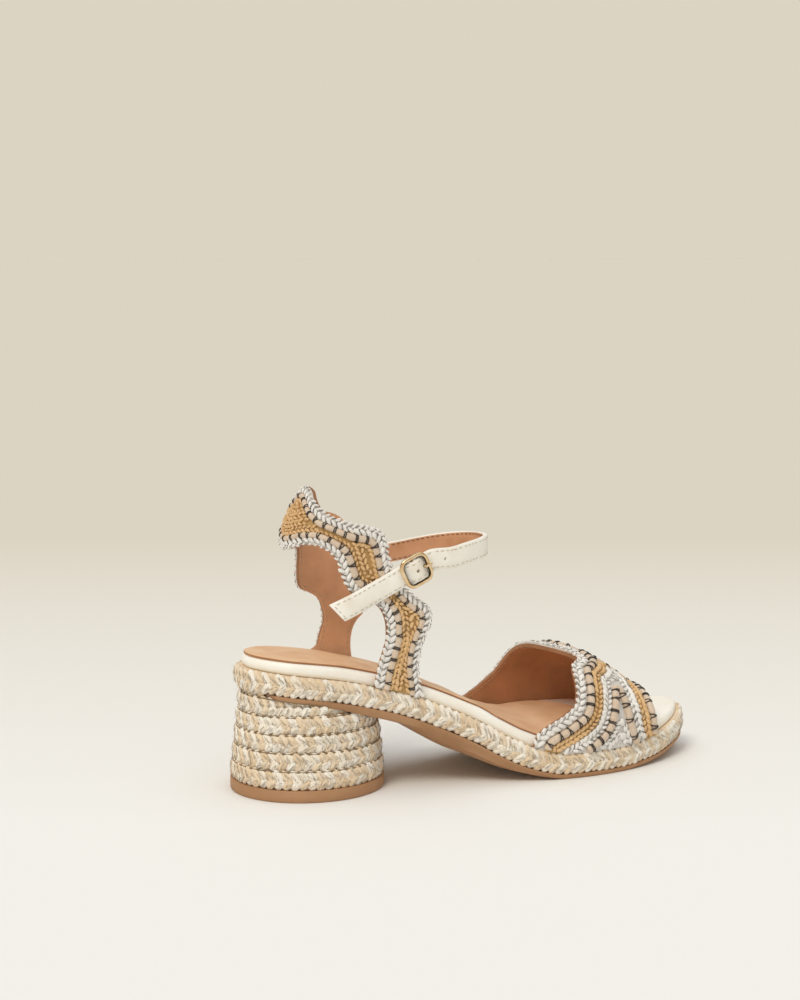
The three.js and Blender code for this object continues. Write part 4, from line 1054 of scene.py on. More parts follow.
def braid_places(path, normal_at, up_at, pitch, height, chance, start=0):
    """Two lanes of slanting strands along a closed path, which meet as arrow heads."""
    places, hairs = Places(), Places()
    length = line_length(path)
    count = max(4, 2 * int(round(length[-1] / pitch / 2)))
    slant = math.radians(46)

    def at_length(at):
        at = at % length[-1]
        return np.array([np.interp(at, length, path[:, k]) for k in range(3)])

    for lane, way in ((0, 1), (1, -1)):
        for i in range(count):
            at = (i + 0.3 * lane) / count * length[-1]
            here = at_length(at)
            along = at_length(at + 1) - at_length(at - 1)
            along /= np.linalg.norm(along) + 1e-9
            out, up = normal_at(here), up_at(here)
            strand = along * math.cos(slant) - way * up * math.sin(slant) + out * 0.14
            strand = strand + up * chance.uniform(-0.13, 0.13)
            bleached = (i + start + (chance.random() < 0.14)) % 2
            tone = (0.92 if bleached else 0.15) + chance.uniform(-0.15, 0.12)
            long = chance.uniform(0.94, 1.06) * height / 9.4
            size = (long, chance.uniform(0.92, 1.15), chance.uniform(0.9, 1.1))
            centre = here + way * up * 0.235 * height + out * chance.uniform(-0.15, 0.15)
            places.add(centre, strand, out, size, min(1, max(0, tone)))
            side = np.cross(out, strand)
            side /= np.linalg.norm(side)
            for hair in range(3):
                lift = centre + side * chance.uniform(-1.1, 1.1) + out * chance.uniform(0.75, 1.25)
                lie = strand + side * chance.uniform(-0.35, 0.35) + out * chance.uniform(-0.1, 0.15)
                grow = chance.uniform(0.7, 1.5)
                hairs.add(lift, lie, out, (grow, grow, 1), chance.random())
    return places, hairs


def fibre_places(places, out_at, along_at, chance, share):
    """Loose fibres that stand out of the jute."""
    loose = Places()
    for point in places.points:
        if chance.random() > share:
            continue
        spot = np.array((point - ORIGIN) / MM)
        out = out_at(spot)
        lean = Vector([chance.uniform(-1, 1) for _ in range(3)])
        direction = (Vector(along_at(spot)) * chance.choice((-1, 1)) + lean * 0.7).normalized()
        scale = chance.uniform(0.4, 1.1)
        loose.add(spot + out * 1.1, direction, out, (scale, scale, scale), chance.uniform(0.4, 1))
    return loose


def plait_piece(name, places, hairs, loose, sizes, jute, width, seed):
    """Strands of the plait, the fibres that lie on them and those that stand off."""
    strand = strand_shape("strand", sizes.jute_strand, width, 2.1, 10, 7, bow=0.3, blunt=0.42, lobes=0.08)
    hair = thread_shape("hair", [(-1.6, 0.1, 0), (-0.5, -0.1, 0.12), (0.6, 0.1, 0.12), (1.7, 0, 0)], 0.13, 3)
    curl = thread_shape("curl", [(0, 0, 0), (1.3, 0.2, 0.4), (2.6, 0.1, 0.8), (3.8, -0.4, 1.0)], 0.07, 3)
    dress(repeated_piece(f"{name}_plait", places, strand, jute, seed=seed), "jute")
    dress(repeated_piece(f"{name}_hairs", hairs, hair, jute, seed=seed + 1), "jute")
    dress(repeated_piece(f"{name}_fibres", loose, curl, jute, seed=seed + 2), "jute")
    drop(strand, hair, curl)


class SANDAL_OT_heel(bpy.types.Operator):
    """Makes the block heel wound with five rows of jute braid, and its top piece"""

    bl_idname = "sandal.heel"
    bl_label = "Heel"

    def execute(self, context):
        colours, sizes = settings()
        chance = random.Random(11)
        rubber = sole_rubber("Top piece rubber", tuple(colours.rubber), linear("#A67C5A"))
        loops = [heel_loop(z, out) for z, out in ((0, -0.9), (0.25, -0.35), (0.8, 0), (5.2, 0), (5.7, -0.4))]
        dress(stacked_piece("heel_top_piece_rubber", loops, rubber), "top_piece", "heel_top_piece")

        jute = jute_fibre(colours)
        loops, rows = [], 6
        for row in range(rows):
            for at, out in ((0, -2.4), (0.15, -1.7), (0.5, -1.3), (0.85, -1.7)):
                loops.append(heel_loop(TOP_PIECE_HEIGHT + (row + at) * ROW_PITCH, out))
        core = []
        for loop in loops:
            cut = outsole_bottom(loop[:, 0]) - 0.4
            shrink = 1 - 0.075 * smoothstep(loop[:, 2] - cut, -4.5, -1.0)
            x = HEEL_CENTRE + (loop[:, 0] - HEEL_CENTRE) * shrink
            core.append(np.stack([x, loop[:, 1] * shrink, np.minimum(loop[:, 2], cut)], 1))
        dress(stacked_piece("heel_core", core, jute), "jute", "heel_block")

        def out_at(here):
            out = np.array([(here[0] - HEEL_CENTRE) / 36**2, here[1] / 32**2, 0])
            return out / np.linalg.norm(out)

        plait, hairs = Places(), Places()
        for row in range(rows):
            middle = TOP_PIECE_HEIGHT + (row + 0.5) * ROW_PITCH
            loop = heel_loop(middle, -1.0, 200)
            path = np.concatenate([loop, loop[:1]])
            up = np.array([0, 0, 1.0])
            found = braid_places(path, out_at, lambda here: up, sizes.heel_pitch, ROW_PITCH, chance, row)
            for source, target in zip(found, (plait, hairs)):
                for point, turn, size, tone in zip(source.points, source.turns, source.sizes, source.tones):
                    spot = (point - ORIGIN) / MM
                    over = spot.z - outsole_bottom(spot.x)
                    rear = 1 - smoothstep(spot.x, 4.0, 14.0)
                    if over < 1.8 + 1.4 * rear:
                        tuck = 1.9 * smoothstep(over, -3.6, -0.8) * (1 - rear)
                        target.points.append(point - Vector(out_at(spot)) * tuck * MM)
                        target.turns.append(turn)
                        target.sizes.append(size)
                        target.tones.append(tone)
        loose = fibre_places(plait, out_at, lambda here: np.cross((0, 0, 1), out_at(here)), chance, 0.7)
        plait_piece("heel_jute", plait, hairs, loose, sizes, jute, 4.1, 3)
        # A dark brown cord in each groove between rows: a seam thread whose dark colour is partly painted
        # shade of the groove.
        cord = waxed_thread("Heel seam thread and groove shade", linear("#8A6F4B"))
        seams = []
        for row in range(1, rows):
            height = TOP_PIECE_HEIGHT + row * ROW_PITCH
            loop = heel_loop(height, -0.3, 96)
            sections = []
            for here in loop:
                out, z = out_at(here), min(here[2], float(outsole_bottom(here[0])))
                centre = np.array([here[0], here[1], z])
                turns = [2 * math.pi * s / 6 for s in range(6)]
                ring = [centre + 0.3 * (out * math.cos(t) + up * math.sin(t)) for t in turns]
                sections.append(np.array(ring))
            seams.append(swept_piece("seam", sections, cord, closed=True))
        dress(joined("heel_seams", seams), "jute")
        return {"FINISHED"}


class SANDAL_OT_sole(bpy.types.Operator):
    """Makes the outsole, the cream footbed and the tan sock"""

    bl_idname = "sandal.sole"
    bl_label = "Outsole, footbed and sock"

    def execute(self, context):
        colours = settings()[0]
        rubber = sole_rubber("Outsole rubber", tuple(colours.rubber), linear("#A87E5A"))

        def waist(x):
            return np.maximum(WAIST_DEPTH * waist_share(x / SOLE_LENGTH), 1.6 * flange(x))

        def flange(x):
            return 1.9 * smoothstep(x, 8, 62) * (1 - smoothstep(x, 75, 120))

        rear = 4.2 * (1 - smoothstep(EDGE[:, 0], 3.0, 14.0))
        edge = OUTSOLE_INSET + rear
        bevel = edge + OUTSOLE_EDGE
        loops = [
            edge_loop(bevel + WAIST_BEVEL + 2, lambda x: outsole_bottom(x) - waist(x)),
            edge_loop(bevel + WAIST_BEVEL, lambda x: outsole_bottom(x) - waist(x)),
            edge_loop(bevel + 0.55 * WAIST_BEVEL, lambda x: outsole_bottom(x) - 0.93 * waist(x)),
            edge_loop(bevel + 0.2 * WAIST_BEVEL, lambda x: outsole_bottom(x) - 0.75 * waist(x)),
            edge_loop(bevel - 1.2, lambda x: outsole_bottom(x) - 0.55 * waist(x)),
            edge_loop(edge + 0.5, lambda x: outsole_bottom(x) + 0.1 - flange(x)),
            edge_loop(edge, lambda x: outsole_bottom(x) + 0.6 - flange(x)),
            edge_loop(edge, lambda x: seam_height(x) - 0.5),
            edge_loop(edge + 0.3, lambda x: seam_height(x) - 0.3),
        ]
        dress(stacked_piece("outsole_rubber", loops, rubber), "outsole", "outsole")

        cream = grained_leather(
            "Cream leather", tuple(colours.cream), linear("#F8F3E9"), 0.9, 0.42, 0.05
        )

        def cant(x, y):
            rise = smoothstep(x, 105.0, 140.0) * (1 - smoothstep(x, 188.0, 214.0))
            return 3.2 * np.clip((y + 36) / 72, 0, 1) * rise

        def level(share):
            return lambda x: jute_top(x) + upright(x, share * rim_height(x))

        loops = [
            edge_loop(JUTE_DEPTH + 0.4, seam_height),
            edge_loop(JUTE_DEPTH + 0.4, lambda x: jute_top(x) + 0.2),
            edge_loop(RIM_INSET + 0.5, lambda x: jute_top(x) + 0.3),
            edge_loop(RIM_INSET + 0.05, level(0.14)),
            edge_loop(RIM_INSET - 0.1, level(0.35)),
            edge_loop(RIM_INSET, level(0.58)),
            edge_loop(RIM_INSET + 0.35, level(0.78)),
            edge_loop(RIM_INSET + 0.95, level(0.93)),
            edge_loop(RIM_INSET + 1.8, level(1)),
            edge_loop(RIM_INSET + 3.2, level(1.03)),
        ]
        for loop in loops[-3:]:
            loop[:, 2] += cant(loop[:, 0], loop[:, 1])
        dress(stacked_piece("footbed_leather", loops, cream), "cream_leather", "footbed")

        tan = grained_leather(
            "Sock leather", tuple(colours.sock), linear("#E2B48A"), 1.6, 0.5, 0.06
        )
        rows, columns = 120, 18
        outer, inner = [], []
        for r in range(rows + 1):
            rear = RIM_INSET + 0.8
            share = (1 - math.cos(math.pi * r / rows / 1.25)) / (1 - math.cos(math.pi / 1.25))
            x = rear + 0.05 + (SOCK_FRONT - rear) * share
            inset = RIM_INSET + 0.8 + (SOCK_INSET - 0.8) * smoothstep(x, 2.0, 48.0)
            low = self.half(x, inset, -1)
            high = self.half(x, inset, 1)
            top, under = [], []
            for c in range(columns + 1):
                y = low + (high - low) * c / columns
                front = share**6 * (0.15 * y - 0.035 * max(0.0, abs(y) - 11) ** 2)
                z = float(rim_top(x + front) + cant(x + front, y))
                edge = min(c, columns - c) / 2
                drop_off = 0.45 * max(0, 1 - edge) ** 2
                top.append((x + front, y, z + 0.35 + SOCK_THICKNESS - drop_off))
                under.append((x + front, y, z + 0.3))
            outer.append(top)
            inner.append(under)
        edge = grained_leather("Sock edge", linear("#B07B55"), linear("#9C6A47"), 1.2, 0.6, 0.04)
        sock = wall_piece("sock_leather", outer, inner, [tan, tan, edge])
        dress(sock, "tan_leather", "sock")

        return {"FINISHED"}

    @staticmethod
    def half(x, inset, side):
        loop = edge_loop(inset, lambda xs: xs * 0)
        count = len(loop) // 2
        part = loop[: count + 1] if side < 0 else np.concatenate([loop[:1], loop[:count - 1 : -1]])
        order = np.argsort(part[:, 0])
        return float(np.interp(x, part[order, 0], part[order, 1]))


class SANDAL_OT_jute_edge(bpy.types.Operator):
    """Makes the row of jute braid round the sole's edge"""

    bl_idname = "sandal.jute_edge"
    bl_label = "Jute edge"

    def execute(self, context):
        colours, sizes = settings()
        chance = random.Random(5)
        jute = jute_fibre(colours)
        section = (
            (2.2, 0.05), (1.6, 0.2), (1.5, 0.5), (1.6, 0.8), (2.4, 0.97), (JUTE_DEPTH, 1),
            (JUTE_DEPTH, 0.03),
        )
        loops = [
            edge_loop(inset, lambda x, h=height: seam_height(x) + upright(x, h * JUTE_HEIGHT))
            for inset, height in section
        ]
        count = len(loops[0])
        faces = []
        for k in range(len(loops)):
            faces += ring_faces(k * count, (k + 1) % len(loops) * count, count)
        core = mesh_piece("jute_edge_core", np.concatenate(loops), faces, [jute])
        dress(core, "jute", "jute_edge_band")

        loop = edge_loop(1.25, lambda x: seam_height(x) + upright(x, 0.5 * JUTE_HEIGHT))
        path = np.concatenate([loop, loop[:1]])

        def nearest(here):
            return int(np.argmin(((loop[:, :2] - here[:2]) ** 2).sum(1)))

        def up_at(here):
            slope = float(seam_height(here[0] + 0.5) - seam_height(here[0] - 0.5))
            along = EDGE_ALONG[nearest(here)]
            up = np.array([-slope * along[0] ** 2, -slope * along[0] * along[1], 1])
            return up / np.linalg.norm(up)

        def out_at(here):
            along = EDGE_ALONG[nearest(here)]
            return np.array([along[1], -along[0], 0])

        plait, hairs = braid_places(path, out_at, up_at, sizes.edge_pitch, JUTE_HEIGHT, chance)
        loose = fibre_places(plait, out_at, lambda here: np.cross((0, 0, 1), out_at(here)), chance, 0.6)
        plait_piece("jute_edge", plait, hairs, loose, sizes, jute, 3.8, 7)
        return {"FINISHED"}


class Lanes:
    """A field on a grid of flat coordinates: its contours are the lanes of rows and piping."""

    def __init__(self, us, vs, field):
        self.us, self.vs, self.field = us, vs, field
        slope = np.hypot(*np.gradient(field, us[1] - us[0], vs[1] - vs[0]))
        self.spread = np.clip(1 / np.maximum(slope, 0.1), 0.72, 1.6)

    def lines(self, level, keep):
        return contour_lines(self.us, self.vs, self.field, level, keep)

    def girth(self, flat):
        """How far the lanes are spread here, against their plain spacing."""
        i = int(round((flat[0] - self.us[0]) / (self.us[1] - self.us[0])))
        j = int(round((flat[1] - self.vs[0]) / (self.vs[1] - self.vs[0])))
        return float(self.spread[min(max(i, 0), len(self.us) - 1), min(max(j, 0), len(self.vs) - 1)])


class Crochet:
    """Collects the rows of a crochet piece: stitches, dark dashes, piping, wraps and fuzz."""

    def __init__(self, name, face, sizes, seed):
        self.name, self.face, self.sizes = name, face, sizes
        self.chance = random.Random(seed)
        self.white, self.camel, self.dashes = Places(), Places(), Places()
        self.wraps, self.fuzz, self.tubes = Places(), Places(), []

    def rows(self, lanes, level, keep, places, slant, dashed=0.0, fuzzy=0.0, grow=1.0):
        """Rows of slanting stitches along the lines of one lane."""
        pitch = self.sizes.stitch_pitch * grow
        chance = self.chance
        for line in lanes.lines(level, keep):
            length = line_length(line)
            count = max(1, int(length[-1] / pitch))
            for i in range(count):
                at = (i + 0.5) / count * length[-1]
                flat, ahead, behind = (
                    np.array([np.interp(at + step, length, line[:, k]) for k in (0, 1)])
                    for step in (0, 0.8, -0.8)
                )
                along = (ahead - behind) / (np.linalg.norm(ahead - behind) + 1e-9)
                here, tangent, across, outward = self.face.frame(flat, along)
                girth = lanes.girth(flat)
                angle = slant + chance.uniform(-0.2, 0.2)
                direction = tangent * math.cos(angle) + across * math.sin(angle)
                direction = direction + outward * chance.uniform(-0.08, 0.16)
                lift = 0.3 + chance.uniform(-0.18, 0.18)
                long, wide = grow * girth**0.5, grow * girth * chance.uniform(0.95, 1.15)
                size = (long * chance.uniform(0.92, 1.1), wide, chance.uniform(0.85, 1.2))
                places.add(here + outward * lift, direction, outward, size, chance.random())
                if chance.random() < dashed:
                    spot = here + tangent * pitch * 0.5 + outward * (0.85 + chance.uniform(-0.1, 0.15))
                    self.dashes.add(spot, direction, outward, (girth, 1, 1), chance.random())
                if chance.random() < fuzzy:
                    grow = chance.uniform(0.5, 1.1)
                    lean = tangent * chance.uniform(-1, 1) + across * chance.uniform(-1, 1)
                    self.fuzz.add(here + outward * 0.8, lean, outward, (grow, grow, grow), chance.random())

    def piping(self, lanes, level, keep, radius, out):
        """Piping along the lines of one lane, with thread wraps round it."""
        for line in lanes.lines(level, keep):
            self.pipe(line, [radius * min(1.05, lanes.girth(flat)) for flat in line], out)

    def pipe(self, line, girths, out):
        frames = []
        kernel = np.ones(9) / 9
        girths = np.convolve(np.pad(girths, 4, mode="edge"), kernel, mode="valid")
        length = line_length(line)
        count = max(1, int(length[-1] / self.sizes.wrap_pitch))
        ties = [
            (i + 0.5 + self.chance.uniform(-0.12, 0.12)) / count * length[-1] for i in range(count)
        ]
        for k, flat in enumerate(line):
            ahead, behind = line[min(k + 1, len(line) - 1)], line[max(k - 1, 0)]
            along = (ahead - behind) / (np.linalg.norm(ahead - behind) + 1e-9)
            frames.append(self.face.frame(flat, along))
        sides = 12
        sections = []
        for far, radius, (here, tangent, across, outward) in zip(length, girths, frames):
            centre = here + outward * out
            pinch = 1.04 - 0.2 * math.exp(-((min(abs(far - tie) for tie in ties) / 0.8) ** 2))
            ring = [
                centre
                + across * radius * pinch * math.cos(2 * math.pi * s / sides)
                + outward * radius * 0.9 * pinch * math.sin(2 * math.pi * s / sides)
                for s in range(sides)
            ]
            sections.append(np.array(ring))
        self.tubes.append(sections)
        for tie in ties:
            k = int(np.argmin(abs(length - tie)))
            here, tangent, across, outward = frames[k]
            lean = self.chance.uniform(-0.12, 0.12)
            crossed = self.chance.choice((0, 0.25, -0.25))
            for shift in (-0.42, 0.42):
                direction = tangent + across * (lean + math.copysign(crossed, shift) * (crossed != 0))
                spot = here + outward * out + tangent * shift
                wide = girths[k] / (self.sizes.piping / 2)
                self.wraps.add(spot, direction, outward, (1, wide, wide), self.chance.random())

    def make(self, colours):
        """Turns the collected rows into pieces."""
        white = cotton_yarn(f"{self.name} white cotton", tuple(colours.white), linear("#DEDBD8"))
        camel = cotton_yarn(f"{self.name} camel cotton", tuple(colours.camel), linear("#CFA570"))
        satin = satin_piping(colours)
        thread = waxed_thread(f"{self.name} dark thread", tuple(colours.thread))
        stitch = strand_shape("stitch", self.sizes.stitch, 1.9, 1.9, rings=5, sides=8, blunt=0.45)
        bent = [(-1.4, 0.3, -0.25), (-0.5, 0.1, 0.12), (0.5, -0.1, 0.12), (1.4, -0.3, -0.25)]
        dash = thread_shape("dash", bent, 0.14, 4)
        wisp = thread_shape("wisp", [(0, 0, 0), (0.8, 0.3, 0.4), (1.5, 0.1, 1.0), (1.8, -0.5, 1.5)], 0.05, 3)
        radius = self.sizes.piping / 2 + 0.08
        arch = [
            (0.0, radius * math.cos(t), radius * 0.92 * math.sin(t))
            for t in np.linspace(-0.25, math.pi + 0.25, 11)
        ]
        wrap = thread_shape("wrap", arch, 0.3, 5)
        grey = waxed_thread(f"{self.name} grey thread", linear("#625B58"))
        dress(repeated_piece(f"{self.name}_white_braid", self.white, stitch, white, seed=2), "crochet")
        if self.camel.points:
            dress(repeated_piece(f"{self.name}_camel_rows", self.camel, stitch, camel, seed=4), "crochet")
        if self.dashes.points:
            dress(repeated_piece(f"{self.name}_grey_dashes", self.dashes, dash, grey, seed=6), "crochet")
        dress(repeated_piece(f"{self.name}_thread_wraps", self.wraps, wrap, thread, seed=8), "crochet")
        dress(repeated_piece(f"{self.name}_fuzz", self.fuzz, wisp, white, seed=9), "crochet")
        tubes = [
            swept_piece(f"{self.name}_tube", sections, satin) for sections in self.tubes
        ]
        dress(joined(f"{self.name}_piping", tubes), "crochet")
        drop(stitch, dash, wisp, wrap)


def backing(name, grid, colours, nodes, tan, wall=(-0.2, -0.75, -0.8, -WALL)):
    """The net behind the stitches and the leather lining, as two thin walls."""
    ground = crochet_ground(colours)
    lining = grained_leather(
        f"{name} lining leather", tan, tuple(0.8 * c for c in tan[:3]) + (1,), 1.5, 0.5, 0.16
    )
    edge = grained_leather(f"{name} lining edge", linear("#A87A58"), linear("#8F6446"), 1.0, 0.7, 0.05)
    for top, bottom, label, finish in (
        (wall[0], wall[1], "net", (ground, ground, ground)),
        (wall[2], wall[3], "lining", (edge, lining, edge)),
    ):
        outer = [[here + out * top for here, out in row] for row in grid[label]]
        inner = [[here + out * bottom for here, out in row] for row in grid[label]]
        tones = grid["tones"] if label == "net" else None
        piece = wall_piece(f"{name}_{label}", outer, inner, list(finish), tones)
        dress(piece, "crochet" if label == "net" else "tan_leather", *(nodes if label == "net" else ()))


def seam_stitches(name, lines, face, sizes, colour, depth, slot):
    """Leather stitches along flat lines, on the inside (depth below zero) or outside of a face."""
    places = Places()
    for line in lines:
        length = line_length(line)
        count = int(length[-1] / sizes.seam_pitch)
        for i in range(count):
            at = (i + 0.5) / count * length[-1]
            flat = np.array([np.interp(at, length, line[:, k]) for k in (0, 1)])
            ahead = np.array([np.interp(min(at + 0.5, length[-1]), length, line[:, k]) for k in (0, 1)])
            along = (ahead - flat) / (np.linalg.norm(ahead - flat) + 1e-9)
            here, tangent, across, outward = face.frame(flat, along)
            places.add(here + outward * depth, tangent, outward * (1 if depth > 0 else -1))
    shape = strand_shape("seam", 1.9, 0.55, 0.5, sides=6, rings=4, blunt=0.35)
    thread = waxed_thread(f"{name} thread", colour, 0.7)
    dress(repeated_piece(name, places, shape, thread), slot)
    drop(shape)


class SANDAL_OT_heel_band(bpy.types.Operator):
    """Makes the crochet heel band with its piping, thread wraps and leather lining"""

    bl_idname = "sandal.heel_band"
    bl_label = "Heel band"

    def execute(self, context):
        colours, sizes = settings()
        stations = np.linspace(0, 2 * BAND_ROWS, 700)
        low = self.to_floor([band_edge(s, 0) for s in stations])
        top = self.to_floor([band_edge(s, 1) for s in stations])

        us = np.arange(-86, 87, 0.7)
        vs = np.arange(36, 149, 0.7)
        grid = np.array([(u, v) for u in us for v in vs])
        shape = (len(us), len(vs))
        to_low = distances(grid, low).reshape(shape)
        to_top = distances(grid, top).reshape(shape)
        polygon = np.concatenate([low, top[::-1]])
        inside = self.inside(grid, polygon).reshape(shape)
        base = np.array([[self.base(u) + 0.4 for _ in vs] for u in us])
        above = vs[None, :] > base
        to_low = np.where(inside, to_low, -to_low)
        to_top = np.where(inside, to_top, -to_top)

        crochet = Crochet("heel_band", BAND_FACE, sizes, 21)
        keep = above & (to_low > -4) & (to_top > -4)
        width = np.clip((to_low + to_top) / 19, 0.74, 1)
        spread = np.minimum(width, 0.78 + 0.22 * smoothstep(abs(us), 16, 30)[:, None])
        leg = 1 - 0.17 * (1 - smoothstep((vs - SEAT) / BAND_HEIGHT, 0.42, 0.55))[None, :]
        edges = [Lanes(us, vs, to_low / spread), Lanes(us, vs, to_top / (spread * leg))]
        for lanes in edges:
            crochet.rows(lanes, 1.25, keep, crochet.white, 0.62, 0.75, 0.35, 1.25)
            crochet.rows(lanes, 3.7, keep, crochet.white, -0.62, 0.75, 0, 1.25)
            crochet.piping(lanes, 6.5, keep, 0.96 * sizes.piping / 2, 0.4)
        low_lanes, top_lanes = edges
        zone = keep & inside
        crochet.rows(top_lanes, 9.0, zone & (to_low > 11.0), crochet.camel, 0.5, 0, 0.1)
        for k in range(9):
            clear = zone & (top_lanes.field > (8.0 if k < 2 else 10.0))
            crochet.rows(low_lanes, 9.0 + 2.15 * k, clear, crochet.camel, 0.5 if k % 2 else -0.5, 0, 0.1)
        crochet.make(colours)

        walls = {"net": [], "lining": [], "tones": []}
        inset = {"net": 0.6, "lining": 0.3}
        for s in np.linspace(0, 2 * BAND_ROWS, 221):
            a, b = band_edge(s, 0), band_edge(s, 1)
            width = np.linalg.norm(b - a)
            for label, edge in inset.items():
                edge += 0.8 * (1 - smoothstep(s, 14.0, 24.0))
                row = []
                for share in np.linspace(edge / width, 1 - edge / width, 15):
                    flat = a + (b - a) * share
                    if s in (0, 2 * BAND_ROWS):
                        flat[1] = self.base(flat[0]) + 0.3
                    here, tangent, across, out = BAND_FACE.frame(flat, (1, 0))
                    row.append((here, out))
                walls[label].append(row)
            shares = np.linspace(0, 1, 15)
            walls["tones"].append([float(min(t, 1 - t) * width < 5.3) for t in shares])
        backing("heel_band", walls, colours, ("heel_band",), tuple(colours.tan))
        lines = []
        for field in (to_low, to_top):
            lines += contour_lines(us, vs, field, 1.9, keep)
        seam_stitches(
            "heel_band_lining_seam", lines, BAND_FACE, sizes, linear("#C9A78A"), -WALL - 0.08,
            "tan_leather",
        )
        return {"FINISHED"}

    @staticmethod
    def to_floor(line):
        """An edge of the band, run straight down past the jute edge at both ends."""
        first, last = line[0], line[-1]
        drops = np.arange(1, 16)
        before = [first - np.array([0, d]) for d in drops[::-1]]
        after = [last - np.array([0, d]) for d in drops]
        return np.array(before + line + after)

    @staticmethod
    def base(u):
        """Height of the jute edge's top under the band at a distance from the rear centre."""
        x = BAND_REAR + BAND_REAR_LENGTH + max(0.0, abs(u) - 44.7)
        return float(jute_top(x))

    @staticmethod
    def inside(points, polygon):
        result = np.zeros(len(points), bool)
        x, y = points[:, 0], points[:, 1]
        following = np.roll(polygon, -1, 0)
        for (ax, ay), (bx, by) in zip(polygon, following):
            if ay == by:
                continue
            crosses = ((ay > y) != (by > y)) & (x < (bx - ax) * (y - ay) / (by - ay) + ax)
            result ^= crosses
        return result


class SANDAL_OT_vamp(bpy.types.Operator):
    """Makes the crochet vamp: nested arches of white and camel rows between two pipings"""

    bl_idname = "sandal.vamp"
    bl_label = "Vamp"

    def execute(self, context):
        colours, sizes = settings()
        ats = np.linspace(-1, 1, 500)
        rear = np.array([(SOLE_LENGTH * vamp_rear(a), self.length(vamp_rear(a), a)) for a in ats])
        front = np.array([(SOLE_LENGTH * vamp_front(a), self.length(vamp_front(a), a)) for a in ats])

        us = np.arange(122, 224, 0.7)
        vs = np.arange(-84, 85, 0.7)
        grid = np.array([(u, v) for u in us for v in vs])
        shape = (len(us), len(vs))
        to_rear = distances(grid, rear).reshape(shape)
        to_front = distances(grid, front).reshape(shape)
        at = np.array([[vamp_at(u, v) for v in vs] for u in us])
        behind = us[:, None] < SOLE_LENGTH * vamp_rear(at)
        ahead = us[:, None] > SOLE_LENGTH * vamp_front(at)
        to_rear = np.where(behind, -to_rear, to_rear)
        to_front = np.where(ahead, -to_front, to_front)
        limit = np.array([(vamp_length(u, -1), vamp_length(u, 1)) for u in us])
        above = (vs[None, :] > limit[:, :1] + 0.6) & (vs[None, :] < limit[:, 1:] - 0.6)
        keep = above & (to_rear > -4) & (to_front > -4)

        crochet = Crochet("vamp", VAMP_FACE, sizes, 33)
        edge = Lanes(us, vs, to_rear)
        crochet.rows(edge, 1.5, keep, crochet.white, 0.62, 0.75, 0.6, 1.35)
        crochet.rows(edge, 4.3, keep, crochet.white, -0.62, 0.75, 0, 1.35)
        ridge = abs(vs)[None, :] + 0 * us[:, None]
        far = keep & (vs > 6)[None, :]
        crochet.rows(edge, 7.1, far, crochet.white, 0.62, 0.6, 0.2, 1.2)
        crochet.rows(edge, 9.7, far, crochet.white, -0.62, 0.6, 0.2, 1.2)
        middle = Lanes(us, vs, vs[None, :] + 0 * us[:, None])
        strip = keep & (to_rear > 6) & (to_front > 1.5)
        for k, level in enumerate((-2.4, 0.01, 2.4)):
            crochet.rows(middle, level, strip, crochet.white, 0.62 * (-1) ** k, 0.5, 0.1, 1.1)
        for side in (-1, 1):
            half = keep & ((vs * side)[None, :] > -3)
            over = smoothstep(vs, 0.0, 12.0)[None, :]
            arch = self.rounded(to_rear - 6.4 - 5.0 * over, 0.7 * ridge - 1.9, 0.78 * to_front + 0.4)
            arches = Lanes(us, vs, np.where((vs * side)[None, :] > 0, arch, -1.0))
            crochet.piping(arches, 2.0, half, 1.9, 0.35)
            crochet.rows(arches, 5.2, half, crochet.camel, 0.5, 0, 0.15)
            crochet.rows(arches, 7.6, half, crochet.camel, -0.5, 0.12, 0.1)
            crochet.rows(arches, 10.1, half, crochet.white, 0.62, 0.6, 0, 1.12)
            crochet.rows(arches, 12.6, half, crochet.white, -0.62, 0.6, 0.2, 1.12)
            crochet.piping(arches, 15.5, half, 1.9, 0.35)
            for k in range(5):
                slant = 0.62 if k % 2 else -0.62
                crochet.rows(arches, 18.6 + 2.3 * k, half, crochet.white, slant, 0.4, 0.2, 1.1)
        crochet.make(colours)

        walls = {"net": [], "lining": [], "tones": []}
        inset = {"net": (0.7, 0.5), "lining": (0.3, 0.8)}
        for a in np.linspace(-1, 1, 181):
            for label, (start, end) in inset.items():
                x0 = SOLE_LENGTH * vamp_rear(a) + start + 1.1 * (1 - smoothstep(a, -0.25, 0.1))
                x1 = SOLE_LENGTH * vamp_front(a) - end
                row = []
                for x in np.linspace(x0, x1, 24):
                    near = min(max(a, -0.998), 0.998)
                    length = vamp_length(x, near)
                    out = VAMP_FACE.frame((x, length), (1, 0))[3]
                    row.append((vamp_point(x, a), out))
                walls[label].append(row)
            walls["tones"].append([])
            for x in np.linspace(SOLE_LENGTH * vamp_rear(a), SOLE_LENGTH * vamp_front(a), 24):
                i = min(int((x - us[0]) / 0.7), len(us) - 1)
                j = min(max(int((vamp_length(x, a) - vs[0]) / 0.7), 0), len(vs) - 1)
                walls["tones"][-1].append(float(to_rear[i, j] < 6.4 or arch[i, j] > 8.8))
        # The vamp's lining takes a darker tan (#C48A62) than the heel band's lining: painted shade inside the
        # vamp.
        backing("vamp", walls, colours, ("vamp",), linear("#C48A62"))
        lines = contour_lines(us, vs, to_rear, 2.0, keep)
        seam_stitches(
            "vamp_lining_seam", lines, VAMP_FACE, sizes, linear("#B98F70"), -WALL - 0.08,
            "tan_leather",
        )
        return {"FINISHED"}

    @staticmethod
    def length(share, at):
        return vamp_length(SOLE_LENGTH * share, at)

    @staticmethod
    def rounded(*fields):
        """The least of several distances, with its corners rounded."""
        stack = np.stack(fields)
        soft = 2.2
        return -soft * np.log(np.exp(-stack / soft).sum(0))


